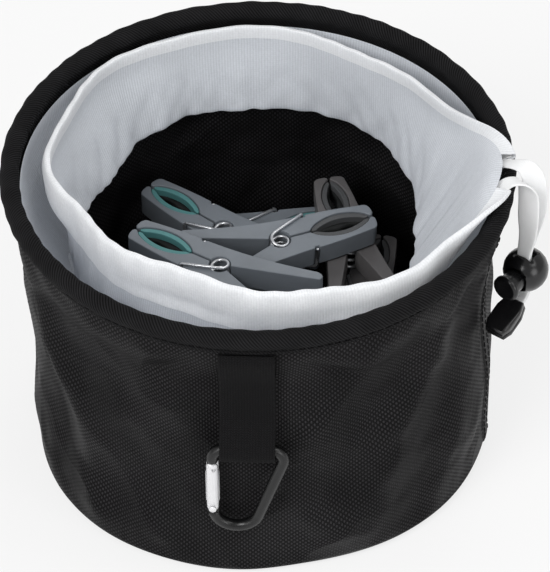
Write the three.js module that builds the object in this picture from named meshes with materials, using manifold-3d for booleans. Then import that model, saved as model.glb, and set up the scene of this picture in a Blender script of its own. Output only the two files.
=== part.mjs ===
// Peg basket: a round fabric bag with a hooped rim, a drawstring collar of white mesh, a ball cord
// lock, a webbing tab with a snap hook, and a heap of soft-grip clothes pegs.
// Millimetres, +Z up. The origin is the middle of the base, on the floor. The tab faces -Y.
import * as THREE from "three";
import { mergeVertices } from "three/addons/utils/BufferGeometryUtils.js";
import Module from "manifold-3d";

const wasm = await Module();
wasm.setup();

// Gaps and smoothness
const CLEARANCE = 0.3;
const RING_STEPS = 44;
const COLLAR_STEPS = 46;
const WALL_ROWS = 5;

// Fabric bag
const BODY_RADIUS = 86;
const RIM_TOP = 126;
const FABRIC = 1.2;
const BASE_ROUND = 9;
const BASE_THICKNESS = 1.4;
const BASE_SEAM_INSET = 13;
const FLOOR_LIFT = 0.2;
const FLARE_HEIGHT = 18;
const FLARE_EASE = 8;

// Folds of the wall: each a line of [degrees round from the tab, share of the rim's height], how wide it is
// and how far it stands out
const FOLDS = [
  { line: [[-66, 0.89], [-58, 0.67], [-45, 0.41], [-41, 0.08]], width: 7, out: 1.5 },
  { line: [[-74, 0.89], [-68, 0.63], [-58, 0.38], [-54, 0.1]], width: 8, out: -1.6 },
  { line: [[-34, 0.89], [-33, 0.67], [-30, 0.48]], width: 7, out: -0.9 },
  { line: [[-14, 0.9], [-17, 0.83], [-24, 0.76]], width: 5, out: -1.7 },
  { line: [[13, 0.9], [16, 0.83], [25, 0.77]], width: 5, out: -1.8 },
  { line: [[30, 0.9], [29, 0.79], [24, 0.68], [14, 0.56]], width: 6, out: 1 },
  { line: [[44, 0.86], [38, 0.67], [26, 0.46], [20, 0.27]], width: 8, out: -1.5 },
  { line: [[48, 0.67], [36, 0.44], [33, 0.17]], width: 7, out: 1.2 },
  { line: [[62, 0.89], [58, 0.63], [50, 0.35], [46, 0.08]], width: 8, out: -1.5 },
  { line: [[74, 0.84], [70, 0.56], [66, 0.24]], width: 8, out: 1.1 },
  { line: [[112, 0.67], [106, 0.52], [112, 0.16]], width: 9, out: -1.6 },
  { line: [[140, 0.87], [150, 0.56], [146, 0.14]], width: 9, out: 1.2 },
  { line: [[166, 0.67], [172, 0.5], [180, 0.13]], width: 9, out: -1.5 },
  { line: [[200, 0.89], [196, 0.6], [206, 0.16]], width: 9, out: 1.2 },
  { line: [[228, 0.67], [236, 0.5], [230, 0.13]], width: 9, out: -1.6 },
  { line: [[262, 0.67], [266, 0.5], [276, 0.16]], width: 8, out: -1.3 },
];
const FOLD_FADE = 12;
const SAG = 0.6;
const LONG_WAVE = 0.5;
const SHORT_WAVE = 0.35;
const TAB_CALM = [8, 14];

// Hooped rim
const RIM_RADIUS = 90.5;
const RIM_ROUND = 3.6;
const HOOP_WIRE = 4;
const BINDING_LEG = 2.8;
const BINDING_CLOTH = 0.9;
const RIM_OVERHANG = 1;

// Mesh collar and its drawstring tunnel
const MESH = 0.7;
const COLLAR_SEAM_RISE = 2;
const HEM_FOLD = 1.3;
const TUNNEL_HEIGHT = 11;
const TUNNEL_PLAY = 0.3;
const GATHERS = 8;
const GATHER_DEPTH = 1.2;
const EXIT_ANGLE = -6;
const EXIT_GAP = 18;

// Ribbon drawstring
const RIBBON_WIDTH = 8.4;
const RIBBON_THICKNESS = 0.8;
const RIBBON_BUNCHED = 5.6;
const RIBBON_GATHERED = 7;

// Ball cord lock, hanging outside the wall on the two ribbon ends
const BALL_RADIUS = 8.5;
const BALL_REACH = 99.5;
const BALL_HEIGHT = 85;
const PLUNGER_HEADING = -118;
const PLUNGER_RADIUS = 4.3;
const PLUNGER_TRAVEL = 2.6;
const PLUNGER_FLANGE = 5.2;
const PLUNGER_STICKOUT = 5.6;
const PLUNGER_WALL = 1.4;
const LOCK_SLOT_WIDTH = 6.8;
const LOCK_SPRING_WIRE = 0.6;
const LOCK_SPRING_RADIUS = 3.2;
const LOCK_SPRING_TURNS = 3;
const LOCK_SPRING_LENGTH = 3.2;

// Cord end clip
const CLIP_LENGTH = 15;
const CLIP_WIDTH = 10;
const CLIP_HALF_THICKNESS = 3;
const CLIP_CHAMFER = 0.8;
const CLIP_CHANNEL = 7;
const CLIP_AHEAD = 2.2;
const CLIP_DROP = 3.4;

// Webbing tab
const TAB_WIDTH = 20;
const TAB_CLOTH = 1.4;
const TAB_DROP = 47;
const TAB_LOOP_PLAY = 1.1;
const TAB_LOOP_LENGTH = 17;

// Snap hook
const ROD = 4.4;
const HOOK_HALF_WIDTH = 12.8;
const HOOK_CORNER = 5;
const HOOK_FOOT_RADIUS = 8.5;
const HOOK_FOOT_DROP = 31;
const GATE_DIAMETER = 5;
const GATE_PIVOT_DROP = 28.5;
const GATE_TOP_DROP = 6.6;
const TONGUE = 1.8;
const RIVET_RADIUS = 0.8;
const RIVET_HEAD_RADIUS = 1.4;
const RIVET_HEAD = 0.6;
const LATCH_PIN_RADIUS = 0.6;
const LATCH_LENGTH = 5.4;
const LATCH_STEM = 1.3;
const GATE_SPRING_WIRE = 0.4;
const GATE_SPRING_RADIUS = 0.75;
const GATE_SPRING_TURNS = 6;
const GATE_SPRING_LENGTH = 9;

// Clothes pegs
const PEG_WIDTH = 10;
const PEG_JAW = 38;
const PEG_HANDLE = 38;
const PEG_JAW_DEPTH = 8.4;
const PEG_TIP_DEPTH = 6.2;
const PEG_HANDLE_SPLAY = 19;
const PEG_HANDLE_TIP = 3.4;
const PEG_PAD_WAVE = 1.5;
const PEG_WIRE = 1.2;
const PEG_COIL_RADIUS = 3.2;
const PEG_COIL_TURNS = 3;
const PEG_HOOK_REACH = 12;

// Where each peg lies: layer from the floor, place of its coil in steps of the grid, where its jaws point
// (degrees), how far it leans about its own length, and on which side of it the moving half is
const PEG_GRID = 10;
const PEGS = [
  { layer: 0, x: -1.6, y: 3, heading: 40, lean: 0, side: 1 },
  { layer: 0, x: 1.4, y: -0.6, heading: 220, lean: 0, side: 1 },
  { layer: 1, x: -2.2, y: 1.2, heading: 132, lean: 0, side: 1 },
  { layer: 1, x: 1.8, y: 2.6, heading: -48, lean: 0, side: 1 },
  { layer: 2, x: -2, y: 3.2, heading: 40, lean: 0, side: 1 },
  { layer: 2, x: 1.6, y: 0, heading: 220, lean: 0, side: -1 },
  { layer: 3, x: -0.6, y: 4.8, heading: 14, lean: 0, side: 1 },
  { layer: 3, x: 3.9, y: 0.9, heading: 80, lean: 0, side: -1 },
  { layer: 4, x: -1.55, y: 3.55, heading: 142, lean: 0, side: 1 },
  { layer: 4, x: 3.3, y: 2.9, heading: 104, lean: 0, side: -1 },
  { layer: 5.03, x: 0.7, y: 1.7, heading: 23, lean: 8, side: 1 },
  { layer: 5.95, x: -1.4, y: -1, heading: 150, lean: 0, side: 1 },
];

// Colours and finishes
const fabricBlack = { color: 0x232226, roughness: 0.85, metalness: 0 };
const bindingBlack = { color: 0x1b1a1d, roughness: 0.9, metalness: 0 };
const webbingBlack = { color: 0x141316, roughness: 0.85, metalness: 0 };
const meshWhite = { color: 0xe9ebee, roughness: 0.8, metalness: 0 };
const ribbonWhite = { color: 0xf2f3f4, roughness: 0.45, metalness: 0 };
const plasticBlack = { color: 0x0e0e10, roughness: 0.35, metalness: 0 };
const enamelBlack = { color: 0x17171a, roughness: 0.4, metalness: 0.5 };
const alloy = { color: 0xc3c5c8, roughness: 0.3, metalness: 1 };
const springSteel = { color: 0xb4b7ba, roughness: 0.3, metalness: 1 };
const pegGrey = { color: 0x9aa3ac, roughness: 0.5, metalness: 0 };

const { abs, cos, sin, acos, exp, sqrt, PI, min, max, round } = Math;
const { clamp, lerp } = THREE.MathUtils;
const radians = THREE.MathUtils.degToRad;
const v2 = (x, y) => new THREE.Vector2(x, y);
const v3 = (x, y, z) => new THREE.Vector3(x, y, z);

// Closed solids

// Position-only geometry with shared vertices and no collapsed triangles
function welded(geometry) {
  const plain = geometry.clone();
  plain.deleteAttribute("normal");
  plain.deleteAttribute("uv");
  const merged = mergeVertices(plain, 1e-3);
  const index = merged.index.array;
  const kept = [];
  for (let i = 0; i < index.length; i += 3) {
    const [a, b, c] = [index[i], index[i + 1], index[i + 2]];
    if (a !== b && b !== c && c !== a) kept.push(a, b, c);
  }
  merged.setIndex(kept);
  return merged;
}

function signedVolume(geometry) {
  const place = geometry.attributes.position;
  const index = geometry.index.array;
  const [a, b, c] = [v3(), v3(), v3()];
  let volume = 0;
  for (let i = 0; i < index.length; i += 3) {
    a.fromBufferAttribute(place, index[i]);
    b.fromBufferAttribute(place, index[i + 1]);
    c.fromBufferAttribute(place, index[i + 2]);
    volume += a.dot(b.cross(c)) / 6;
  }
  return volume;
}

// The welded geometry with every face pointing out
function outward(geometry) {
  const solid = welded(geometry);
  if (signedVolume(solid) < 0) solid.setIndex(Array.from(solid.index.array).reverse());
  return solid;
}

function toManifold(geometry) {
  const solid = outward(geometry);
  const vertProperties = new Float32Array(solid.attributes.position.array);
  const triVerts = new Uint32Array(solid.index.array);
  return new wasm.Manifold(new wasm.Mesh({ numProp: 3, vertProperties, triVerts }));
}

function fromManifold(manifold) {
  const mesh = manifold.getMesh();
  const geometry = new THREE.BufferGeometry();
  geometry.setAttribute("position", new THREE.BufferAttribute(mesh.vertProperties, 3));
  geometry.setIndex(Array.from(mesh.triVerts));
  return geometry;
}

function cut(body, ...cutters) {
  const solid = cutters.reduce((rest, cutter) => rest.subtract(toManifold(cutter)), toManifold(body));
  return fromManifold(solid);
}

function join(body, ...pieces) {
  const solid = pieces.reduce((whole, piece) => whole.add(toManifold(piece)), toManifold(body));
  return fromManifold(solid);
}

// A box given by its lowest and highest corners
function boxBetween(low, high) {
  const size = high.clone().sub(low);
  const box = new THREE.BoxGeometry(size.x, size.y, size.z);
  return box.translate(low.x + size.x / 2, low.y + size.y / 2, low.z + size.z / 2);
}

// A round bar along Y, centred on the point
function barAlongY(radius, length, centre, sides = 16) {
  const bar = new THREE.CylinderGeometry(radius, radius, length, sides);
  return bar.translate(centre.x, centre.y, centre.z);
}

// A profile of (radius, height) points turned about Z
function turned(points, steps = RING_STEPS) {
  return new THREE.LatheGeometry(points, steps).rotateX(PI / 2);
}

// A strip of even thickness along a line of points, as a closed outline
function thickened(line, thickness) {
  const half = thickness / 2;
  const normals = line.map((point, i) => {
    const before = line[max(i - 1, 0)];
    const after = line[min(i + 1, line.length - 1)];
    const along = after.clone().sub(before).normalize();
    return v2(along.y, -along.x);
  });
  const right = line.map((point, i) => point.clone().addScaledVector(normals[i], half));
  const left = line.map((point, i) => point.clone().addScaledVector(normals[i], -half));
  return [...right, ...left.reverse()];
}

// A closed skin over rings of points; an endless run of rings joins its last ring to its first
function skin(rings, endless = false) {
  const count = rings[0].length;
  const positions = rings.flat().flatMap((point) => [point.x, point.y, point.z]);
  const faces = [];
  const spans = endless ? rings.length : rings.length - 1;
  for (let i = 0; i < spans; i += 1) {
    const here = i * count;
    const next = ((i + 1) % rings.length) * count;
    for (let k = 0; k < count; k += 1) {
      const k2 = (k + 1) % count;
      faces.push(here + k, here + k2, next + k2, here + k, next + k2, next + k);
    }
  }
  if (!endless) {
    const last = (rings.length - 1) * count;
    for (let k = 1; k < count - 1; k += 1) {
      faces.push(0, k + 1, k);
      faces.push(last, last + k, last + k + 1);
    }
  }
  const geometry = new THREE.BufferGeometry();
  geometry.setAttribute("position", new THREE.Float32BufferAttribute(positions, 3));
  geometry.setIndex(faces);
  return geometry;
}

// A round wire through the points, its frame carried along without twisting
function wire(points, radius, sides) {
  const rings = [];
  const first = points[1].clone().sub(points[0]).normalize();
  const across = v3(0, 1, 0).cross(first);
  if (across.lengthSq() < 0.1) across.set(1, 0, 0);
  points.forEach((point, i) => {
    const before = points[max(i - 1, 0)];
    const after = points[min(i + 1, points.length - 1)];
    const along = after.clone().sub(before).normalize();
    across.addScaledVector(along, -across.dot(along)).normalize();
    const up = along.clone().cross(across);
    const ring = [];
    for (let k = 0; k < sides; k += 1) {
      const turn = (2 * PI * k) / sides;
      const offset = across.clone().multiplyScalar(radius * cos(turn));
      ring.push(point.clone().add(offset).addScaledVector(up, radius * sin(turn)));
    }
    rings.push(ring);
  });
  return skin(rings);
}

// A flat ribbon through stations; each has its place, the way its width lies, and its width
function ribbon(stations, thickness) {
  const rings = stations.map((station, i) => {
    const before = stations[max(i - 1, 0)].place;
    const after = stations[min(i + 1, stations.length - 1)].place;
    const along = after.clone().sub(before).normalize();
    const across = station.across.clone().addScaledVector(along, -station.across.dot(along)).normalize();
    const up = along.clone().cross(across);
    const half = station.width / 2;
    const edge = half - thickness / 2;
    const outline = [
      [half, 0],
      [edge, thickness / 2],
      [0, thickness / 2],
      [-edge, thickness / 2],
      [-half, 0],
      [-edge, -thickness / 2],
      [0, -thickness / 2],
      [edge, -thickness / 2],
    ];
    return outline.map(([a, b]) => station.place.clone().addScaledVector(across, a).addScaledVector(up, b));
  });
  return skin(rings);
}

// The least gap of a wire to itself, between points more than half a turn of it apart
function leastGap(points, diameter, apart) {
  let least = Infinity;
  const lengths = [0];
  for (let i = 1; i < points.length; i += 1) {
    lengths.push(lengths[i - 1] + points[i].distanceTo(points[i - 1]));
  }
  for (let i = 0; i < points.length; i += 1) {
    for (let k = i + 1; k < points.length; k += 1) {
      if (lengths[k] - lengths[i] > apart) least = min(least, points[i].distanceTo(points[k]) - diameter);
    }
  }
  return least;
}

// A smooth value round the ring from [angle, value] stops
function aroundRing(stops) {
  const sorted = [...stops].sort((a, b) => a[0] - b[0]);
  const count = sorted.length;
  const at = (i) => {
    const lap = Math.floor(i / count);
    const stop = sorted[i - lap * count];
    return [stop[0] + 360 * lap, stop[1]];
  };
  return (angle) => {
    const first = sorted[0][0];
    const wrapped = first + THREE.MathUtils.euclideanModulo(angle - first, 360);
    let i = 0;
    while (i < count - 1 && sorted[i + 1][0] <= wrapped) i += 1;
    const [before, from, to, after] = [at(i - 1), at(i), at(i + 1), at(i + 2)];
    const span = to[0] - from[0];
    const t = (wrapped - from[0]) / span;
    const slopeFrom = ((to[1] - before[1]) / (to[0] - before[0])) * span;
    const slopeTo = ((after[1] - from[1]) / (after[0] - from[0])) * span;
    const smooth = t * t * (3 - 2 * t);
    const lift = t * (1 - t) * ((1 - t) * slopeFrom - t * slopeTo);
    return from[1] + (to[1] - from[1]) * smooth + lift;
  };
}

const basket = new THREE.Group();

function add(group, name, geometry, finish) {
  const mesh = new THREE.Mesh(outward(geometry), new THREE.MeshStandardMaterial(finish));
  mesh.name = name;
  group.add(mesh);
  return mesh;
}

// Fabric wall: turns under at the floor, stands up, and flares into the rim's binding

const hoopHeight = RIM_TOP - RIM_ROUND;
const wallMiddle = BODY_RADIUS - FABRIC / 2;
const wallTopRadius = RIM_RADIUS - RIM_OVERHANG;
const wallTop = hoopHeight - HOOP_WIRE / 2 - CLEARANCE * 2;
const bindingFoot = hoopHeight - RIM_ROUND - BINDING_LEG;
const flareTop = bindingFoot - BINDING_LEG;
const flareFoot = flareTop - FLARE_HEIGHT;
const basePanelRadius = BODY_RADIUS - BASE_SEAM_INSET - CLEARANCE;

// The line of the flare, moved out from the cloth's middle by an offset
function flareCurve(path, offset) {
  path.bezierCurveTo(
    wallMiddle + offset, flareFoot + FLARE_EASE,
    wallTopRadius + offset, flareTop - FLARE_EASE,
    wallTopRadius + offset, flareTop,
  );
}

// How far the cloth stands out of its round form: its folds, and a slack that sags between them
function foldDepth(angle, height) {
  const fromTab = angle + 90;
  const level = height / RIM_TOP;
  const fade = FOLD_FADE / RIM_TOP;
  let depth = 0;
  FOLDS.forEach(({ line, width, out }) => {
    const [top, foot] = [line[0][1], line[line.length - 1][1]];
    const reach = radians(apart(fromTab, foldMiddle(line, level))) * BODY_RADIUS;
    const kept = clamp((level - foot) / fade + 1, 0, 1) * clamp((top - level) / fade + 1, 0, 1);
    depth += out * kept * exp(-((reach / width) ** 2));
  });
  const slack = LONG_WAVE * sin(radians(3 * fromTab + 40)) + SHORT_WAVE * sin(radians(7 * fromTab + height * 1.3));
  depth += (slack - SAG) * clamp((flareFoot - height) / FOLD_FADE, 0, 1);
  const calm = clamp((abs(apart(fromTab, 0)) - TAB_CALM[0]) / (TAB_CALM[1] - TAB_CALM[0]), 0, 1);
  const ease = clamp(height / FOLD_FADE - 0.2, 0, 1) * clamp((bindingFoot - 1 - height) / FOLD_FADE, 0, 1);
  return ease * depth * (depth > 0 ? calm : 0.25 + 0.75 * calm);
}

// Where a fold's middle is at a level, in degrees from the tab
function foldMiddle(line, level) {
  const low = line.findIndex((stop) => stop[1] <= level);
  if (low === 0) return line[0][0];
  if (low < 0) return line[line.length - 1][0];
  const [upper, lower] = [line[low - 1], line[low]];
  return lerp(lower[0], upper[0], (level - lower[1]) / (upper[1] - lower[1]));
}

// The turn from one angle to another, within half a turn
function apart(angle, from) {
  return THREE.MathUtils.euclideanModulo(angle - from + 180, 360) - 180;
}

function sideWall() {
  const floor = FLOOR_LIFT + FABRIC / 2;
  const path = new THREE.Path();
  path.moveTo(BODY_RADIUS - BASE_SEAM_INSET, floor);
  path.lineTo(wallMiddle - BASE_ROUND, floor);
  path.quadraticCurveTo(wallMiddle, floor, wallMiddle, floor + BASE_ROUND);
  for (let row = 1; row <= WALL_ROWS; row += 1) {
    path.lineTo(wallMiddle, lerp(floor + BASE_ROUND, flareFoot, row / WALL_ROWS));
  }
  flareCurve(path, 0);
  path.lineTo(wallTopRadius, wallTop);
  const outline = thickened(path.getPoints(3), FABRIC);
  const rings = [];
  for (let i = 0; i < RING_STEPS; i += 1) {
    const angle = (360 * i) / RING_STEPS - 90;
    rings.push(outline.map((point) => atAngle(v2(point.x + foldDepth(angle, point.y), point.y), angle)));
  }
  return skin(rings, true);
}

function basePanel() {
  const edge = BASE_THICKNESS / 3;
  const profile = [
    v2(0, 0),
    v2(basePanelRadius - edge, 0),
    v2(basePanelRadius, edge),
    v2(basePanelRadius, BASE_THICKNESS - edge),
    v2(basePanelRadius - edge, BASE_THICKNESS),
    v2(0, BASE_THICKNESS),
  ];
  return turned(profile);
}

add(basket, "side_wall", sideWall(), fabricBlack);
add(basket, "base_panel", basePanel(), fabricBlack);

// Rim: a wire hoop in a binding that grips the wall's top edge between two legs

function rimBinding() {
  const bore = HOOP_WIRE / 2 + CLEARANCE;
  const grip = FABRIC / 2 + CLEARANCE;
  const legs = grip + BINDING_CLOTH;
  const crossing = (reach, radius) => acos((wallTopRadius + reach - RIM_RADIUS) / radius);
  const path = new THREE.Path();
  path.moveTo(wallTopRadius + legs, bindingFoot);
  path.absarc(RIM_RADIUS, hoopHeight, RIM_ROUND, -crossing(legs, RIM_ROUND),
    2 * PI - crossing(-legs, RIM_ROUND), false);
  path.lineTo(wallTopRadius - legs, bindingFoot);
  path.lineTo(wallTopRadius - grip, bindingFoot);
  path.absarc(RIM_RADIUS, hoopHeight, bore, 2 * PI - crossing(-grip, bore), -crossing(grip, bore), true);
  path.lineTo(wallTopRadius + grip, bindingFoot);
  const outline = path.getPoints(4);
  return turned([...outline, outline[0]]);
}

const hoop = new THREE.TorusGeometry(RIM_RADIUS, HOOP_WIRE / 2, 5, RING_STEPS);
add(basket, "rim_hoop", hoop.translate(0, 0, hoopHeight), springSteel);
add(basket, "rim_binding", rimBinding(), bindingBlack);

// Mesh collar: sewn inside the rim, it hangs, folds at a hem and comes back up to the drawstring
// tunnel, which is drawn in by the cord and pulled out over the rim where the cord leaves

// Shares of the body's radius, of the rim's height, of the rim's radius and of the rim's height again
const hemRadius = aroundRing([
  [8, 0.698], [30, 0.779], [60, 0.919], [90, 0.93], [120, 0.919], [150, 0.802], [180, 0.814],
  [225, 0.849], [270, 0.872], [305, 0.814], [330, 0.721], [350, 0.686],
]);
const hemHeight = aroundRing([[0, 0.627], [45, 0.651], [135, 0.659], [225, 0.651], [300, 0.651], [335, 0.627]]);
const tunnelRadius = aroundRing([
  [EXIT_ANGLE - 4, 0.923], [EXIT_ANGLE + 4, 0.923], [16, 0.884], [32, 0.84], [50, 0.834], [90, 0.912],
  [130, 0.912], [160, 0.867], [185, 0.823], [205, 0.762], [225, 0.74], [250, 0.738], [264, 0.757],
  [280, 0.807], [302, 0.873], [324, 0.9],
]);
const tunnelFoot = aroundRing([
  [EXIT_ANGLE - 5, 1.016], [EXIT_ANGLE + 5, 1.016], [18, 0.929], [45, 0.889], [90, 0.873], [180, 0.889],
  [215, 0.913], [250, 0.929], [290, 0.929], [330, 0.937],
]);
const tunnelLean = aroundRing([
  [EXIT_ANGLE - 5, 74], [EXIT_ANGLE + 5, 74], [EXIT_ANGLE + 16, 30], [EXIT_ANGLE + 28, 0], [90, 0],
  [180, 0], [270, 0], [EXIT_ANGLE + 332, 0], [EXIT_ANGLE + 344, 30],
]);
const gatherFade = aroundRing([
  [EXIT_ANGLE - 8, 0], [EXIT_ANGLE + 8, 0], [40, 1], [90, 0.5], [140, 1], [220, 1], [310, 1],
]);

// The tunnel's frame at an angle: its foot, the way up its width and the way out of its face
function tunnelFrame(angle) {
  const lean = radians(tunnelLean(angle));
  const gather = GATHER_DEPTH * gatherFade(angle) * cos(GATHERS * radians(angle));
  return {
    foot: v2(tunnelRadius(angle) * RIM_RADIUS + gather, tunnelFoot(angle) * RIM_TOP),
    up: v2(sin(lean), cos(lean)),
    out: v2(cos(lean), -sin(lean)),
  };
}

function fromFrame(frame, up, out) {
  return frame.foot.clone().addScaledVector(frame.up, up).addScaledVector(frame.out, out);
}

const tunnelHalf = RIBBON_THICKNESS / 2 + TUNNEL_PLAY + MESH / 2;

// The collar's cloth at an angle, from the rim seam round the hem to the tunnel's last edge
function collarLine(angle) {
  const frame = tunnelFrame(angle);
  const bindingInside = wallTopRadius - FABRIC / 2 - CLEARANCE - BINDING_CLOTH;
  const seam = v2(bindingInside - CLEARANCE * 1.5 - MESH / 2, bindingFoot + COLLAR_SEAM_RISE);
  const hem = v2(hemRadius(angle) * BODY_RADIUS, hemHeight(angle) * RIM_TOP);
  const hemOut = v2(hem.x + HEM_FOLD, hem.y + HEM_FOLD * 1.2);
  const hemIn = v2(hem.x - HEM_FOLD, hem.y + HEM_FOLD * 1.2);
  const slack = v2(seam.x - HEM_FOLD, seam.y - BINDING_LEG * 3);
  const tunnelIn = fromFrame(frame, 0, -tunnelHalf);
  return [
    seam,
    slack,
    slack.clone().lerp(hemOut, 0.5),
    hemOut,
    hem,
    hemIn,
    hemIn.clone().lerp(tunnelIn, 0.5),
    tunnelIn,
    fromFrame(frame, TUNNEL_HEIGHT * 0.9, -tunnelHalf),
    fromFrame(frame, TUNNEL_HEIGHT, 0),
    fromFrame(frame, TUNNEL_HEIGHT * 0.9, tunnelHalf),
    fromFrame(frame, TUNNEL_HEIGHT * 0.06, tunnelHalf),
    fromFrame(frame, -TUNNEL_HEIGHT * 0.06, CLEARANCE),
  ];
}

function atAngle(point, angle) {
  const turn = radians(angle);
  return v3(point.x * cos(turn), point.x * sin(turn), point.y);
}

function meshCollar() {
  const rings = [];
  for (let i = 0; i < COLLAR_STEPS; i += 1) {
    const angle = EXIT_ANGLE + (360 * i) / COLLAR_STEPS;
    rings.push(thickened(collarLine(angle), MESH).map((point) => atAngle(point, angle)));
  }
  const frame = tunnelFrame(EXIT_ANGLE);
  const opening = boxBetween(
    v3(frame.foot.x + CLEARANCE, -EXIT_GAP / 2, frame.foot.y - TUNNEL_HEIGHT / 2),
    v3(frame.foot.x + TUNNEL_HEIGHT * 1.5, EXIT_GAP / 2, frame.foot.y + TUNNEL_HEIGHT),
  ).rotateZ(radians(EXIT_ANGLE));
  return cut(skin(rings, true), opening);
}

add(basket, "mesh_collar", meshCollar(), meshWhite);

// Drawstring: a ribbon round the tunnel whose two ends come out over the rim

// A ring of the ribbon at one of the collar's steps, so that it follows the tunnel's facets
function ribbonRing(step) {
  const angle = EXIT_ANGLE + (360 * step) / COLLAR_STEPS;
  const frame = tunnelFrame(angle);
  const edge = (up, out) => atAngle(fromFrame(frame, TUNNEL_HEIGHT / 2 + up, out), angle);
  const half = RIBBON_WIDTH / 2;
  return [
    edge(-half, -RIBBON_THICKNESS / 2),
    edge(half, -RIBBON_THICKNESS / 2),
    edge(half, RIBBON_THICKNESS / 2),
    edge(-half, RIBBON_THICKNESS / 2),
  ];
}

function drawstringLoop() {
  const stepLength = (2 * PI * RIM_RADIUS) / COLLAR_STEPS;
  const share = (EXIT_GAP / 2 + CLEARANCE) / stepLength;
  const between = (from, to) => from.map((point, k) => point.clone().lerp(to[k], share));
  const rings = [between(ribbonRing(0), ribbonRing(1))];
  for (let step = 1; step < COLLAR_STEPS; step += 1) rings.push(ribbonRing(step));
  rings.push(between(ribbonRing(COLLAR_STEPS), ribbonRing(COLLAR_STEPS - 1)));
  return skin(rings);
}

add(basket, "drawstring_loop", drawstringLoop(), ribbonWhite);

// Everything that hangs at the drawstring's exit is placed in a group turned to it: X leads
// outwards, Y along the rim, Z up
const exit = new THREE.Group();
exit.rotation.z = radians(EXIT_ANGLE);
basket.add(exit);

const lockTurn = radians(PLUNGER_HEADING);
const press = v3(cos(lockTurn), sin(lockTurn), 0);
const aside = v3(-sin(lockTurn), cos(lockTurn), 0);
const ballCentre = v3(BALL_REACH, 0, BALL_HEIGHT);
const layerPitch = RIBBON_THICKNESS + CLEARANCE;
const clipWay = v3(press.x * 0.94, press.y * 0.94, -0.34).normalize();

// A place in the lock: along the plunger, across it, and up from the ball's middle
function inLock(along, across, up) {
  return ballCentre.clone().addScaledVector(press, along).addScaledVector(aside, across).add(v3(0, 0, up));
}

// The ribbons lie face to face in the lock, where its slot and the plunger's slot overlap
const windowMiddle = PLUNGER_TRAVEL / 2;

// The last stations of a run: down through the ball and bent into the cord end clip
function lockStations(layer) {
  const along = windowMiddle + layer * layerPitch;
  const through = [BALL_RADIUS + 1, BALL_RADIUS / 2, 0, -BALL_RADIUS / 2, -BALL_RADIUS - 0.5];
  const stations = through.map((up) => ({ place: inLock(along, 0, up), across: aside, width: RIBBON_BUNCHED }));
  const bend = inLock(along + 0.4, 0, -BALL_RADIUS - 1.9 + layer * 0.6);
  stations.push({ place: bend, across: aside, width: RIBBON_BUNCHED });
  const ends = [0, 4, 7];
  const start = inLock(windowMiddle + CLIP_AHEAD, 0, -BALL_RADIUS - CLIP_DROP);
  const lift = clipWay.clone().cross(aside).multiplyScalar(layer * layerPitch);
  ends.forEach((reach) => {
    const place = start.clone().addScaledVector(clipWay, reach).add(lift);
    stations.push({ place, across: aside, width: RIBBON_BUNCHED });
  });
  return stations;
}

// A free run starts at the tunnel's end on its own side of the exit; the points are places out from the
// rim's middle, along it and up from its top, with the way the ribbon's width lies there
function freeRun(points, layer) {
  const stations = points.map(([out, along, up, acrossX, acrossY, acrossZ, width]) => ({
    place: v3(RIM_RADIUS + out, along, RIM_TOP + up),
    across: v3(acrossX, acrossY, acrossZ),
    width,
  }));
  return ribbon([...stations, ...lockStations(layer)], RIBBON_THICKNESS);
}

const frontRun = [
  [-1.3, -8.7, 3.6, 1, 0, 0.28, RIBBON_BUNCHED],
  [-1.3, -7.6, 3.6, 1, 0, 0.28, RIBBON_BUNCHED],
  [-0.1, -6, 4.3, 0.95, -0.3, 0.2, RIBBON_BUNCHED],
  [2.9, -4.4, 5.2, 0.75, -0.65, 0.1, RIBBON_BUNCHED],
  [6.3, -3.4, 4.2, 0.7, -0.7, 0.1, RIBBON_GATHERED],
  [8.3, -2.8, 0.4, 0.85, -0.5, 0, RIBBON_WIDTH],
  [9, -2.4, -6, 0.93, -0.35, 0, RIBBON_WIDTH],
  [9.1, -2.2, -14, 0.93, -0.35, 0, RIBBON_WIDTH],
  [9.1, -1.8, -23, 0.92, -0.4, 0, RIBBON_GATHERED],
];
const backRun = [
  [-1.3, 8.7, 3.6, 1, 0, 0.28, RIBBON_BUNCHED],
  [-1.3, 7.6, 3.6, 1, 0, 0.28, RIBBON_BUNCHED],
  [0.1, 6, 4.4, 0.95, 0.3, 0.2, RIBBON_BUNCHED],
  [3.3, 4.8, 5.4, 0.75, 0.65, 0.1, RIBBON_BUNCHED],
  [6.7, 3.8, 5.2, 0.7, 0.7, 0.1, RIBBON_GATHERED],
  [9.5, 3.2, 1.6, 0.85, 0.45, 0, RIBBON_WIDTH],
  [11.1, 2.8, -5, 0.95, 0.2, 0, RIBBON_WIDTH],
  [11.1, 2.2, -13.4, 0.97, 0, 0, RIBBON_WIDTH],
  [9.9, 1.2, -23, 0.92, -0.3, 0, RIBBON_GATHERED],
];
add(exit, "drawstring_front_run", freeRun(frontRun, 0.5), ribbonWhite);
add(exit, "drawstring_back_run", freeRun(backRun, -0.5), ribbonWhite);

// Ball cord lock: the ball, a plunger across it and the spring behind the plunger. In the lock's
// group X leads out along the plunger and the cord runs along Z
const lock = new THREE.Group();
lock.position.copy(ballCentre);
lock.rotation.z = lockTurn;
exit.add(lock);

const plungerInner = -PLUNGER_WALL;
const springSeat = plungerInner - LOCK_SPRING_LENGTH - LOCK_SPRING_WIRE - 2 * CLEARANCE;

function lockSlot(shift) {
  return boxBetween(
    v3(shift - PLUNGER_TRAVEL, -LOCK_SLOT_WIDTH / 2, -2 * BALL_RADIUS),
    v3(shift + PLUNGER_TRAVEL, LOCK_SLOT_WIDTH / 2, 2 * BALL_RADIUS),
  );
}

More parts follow.
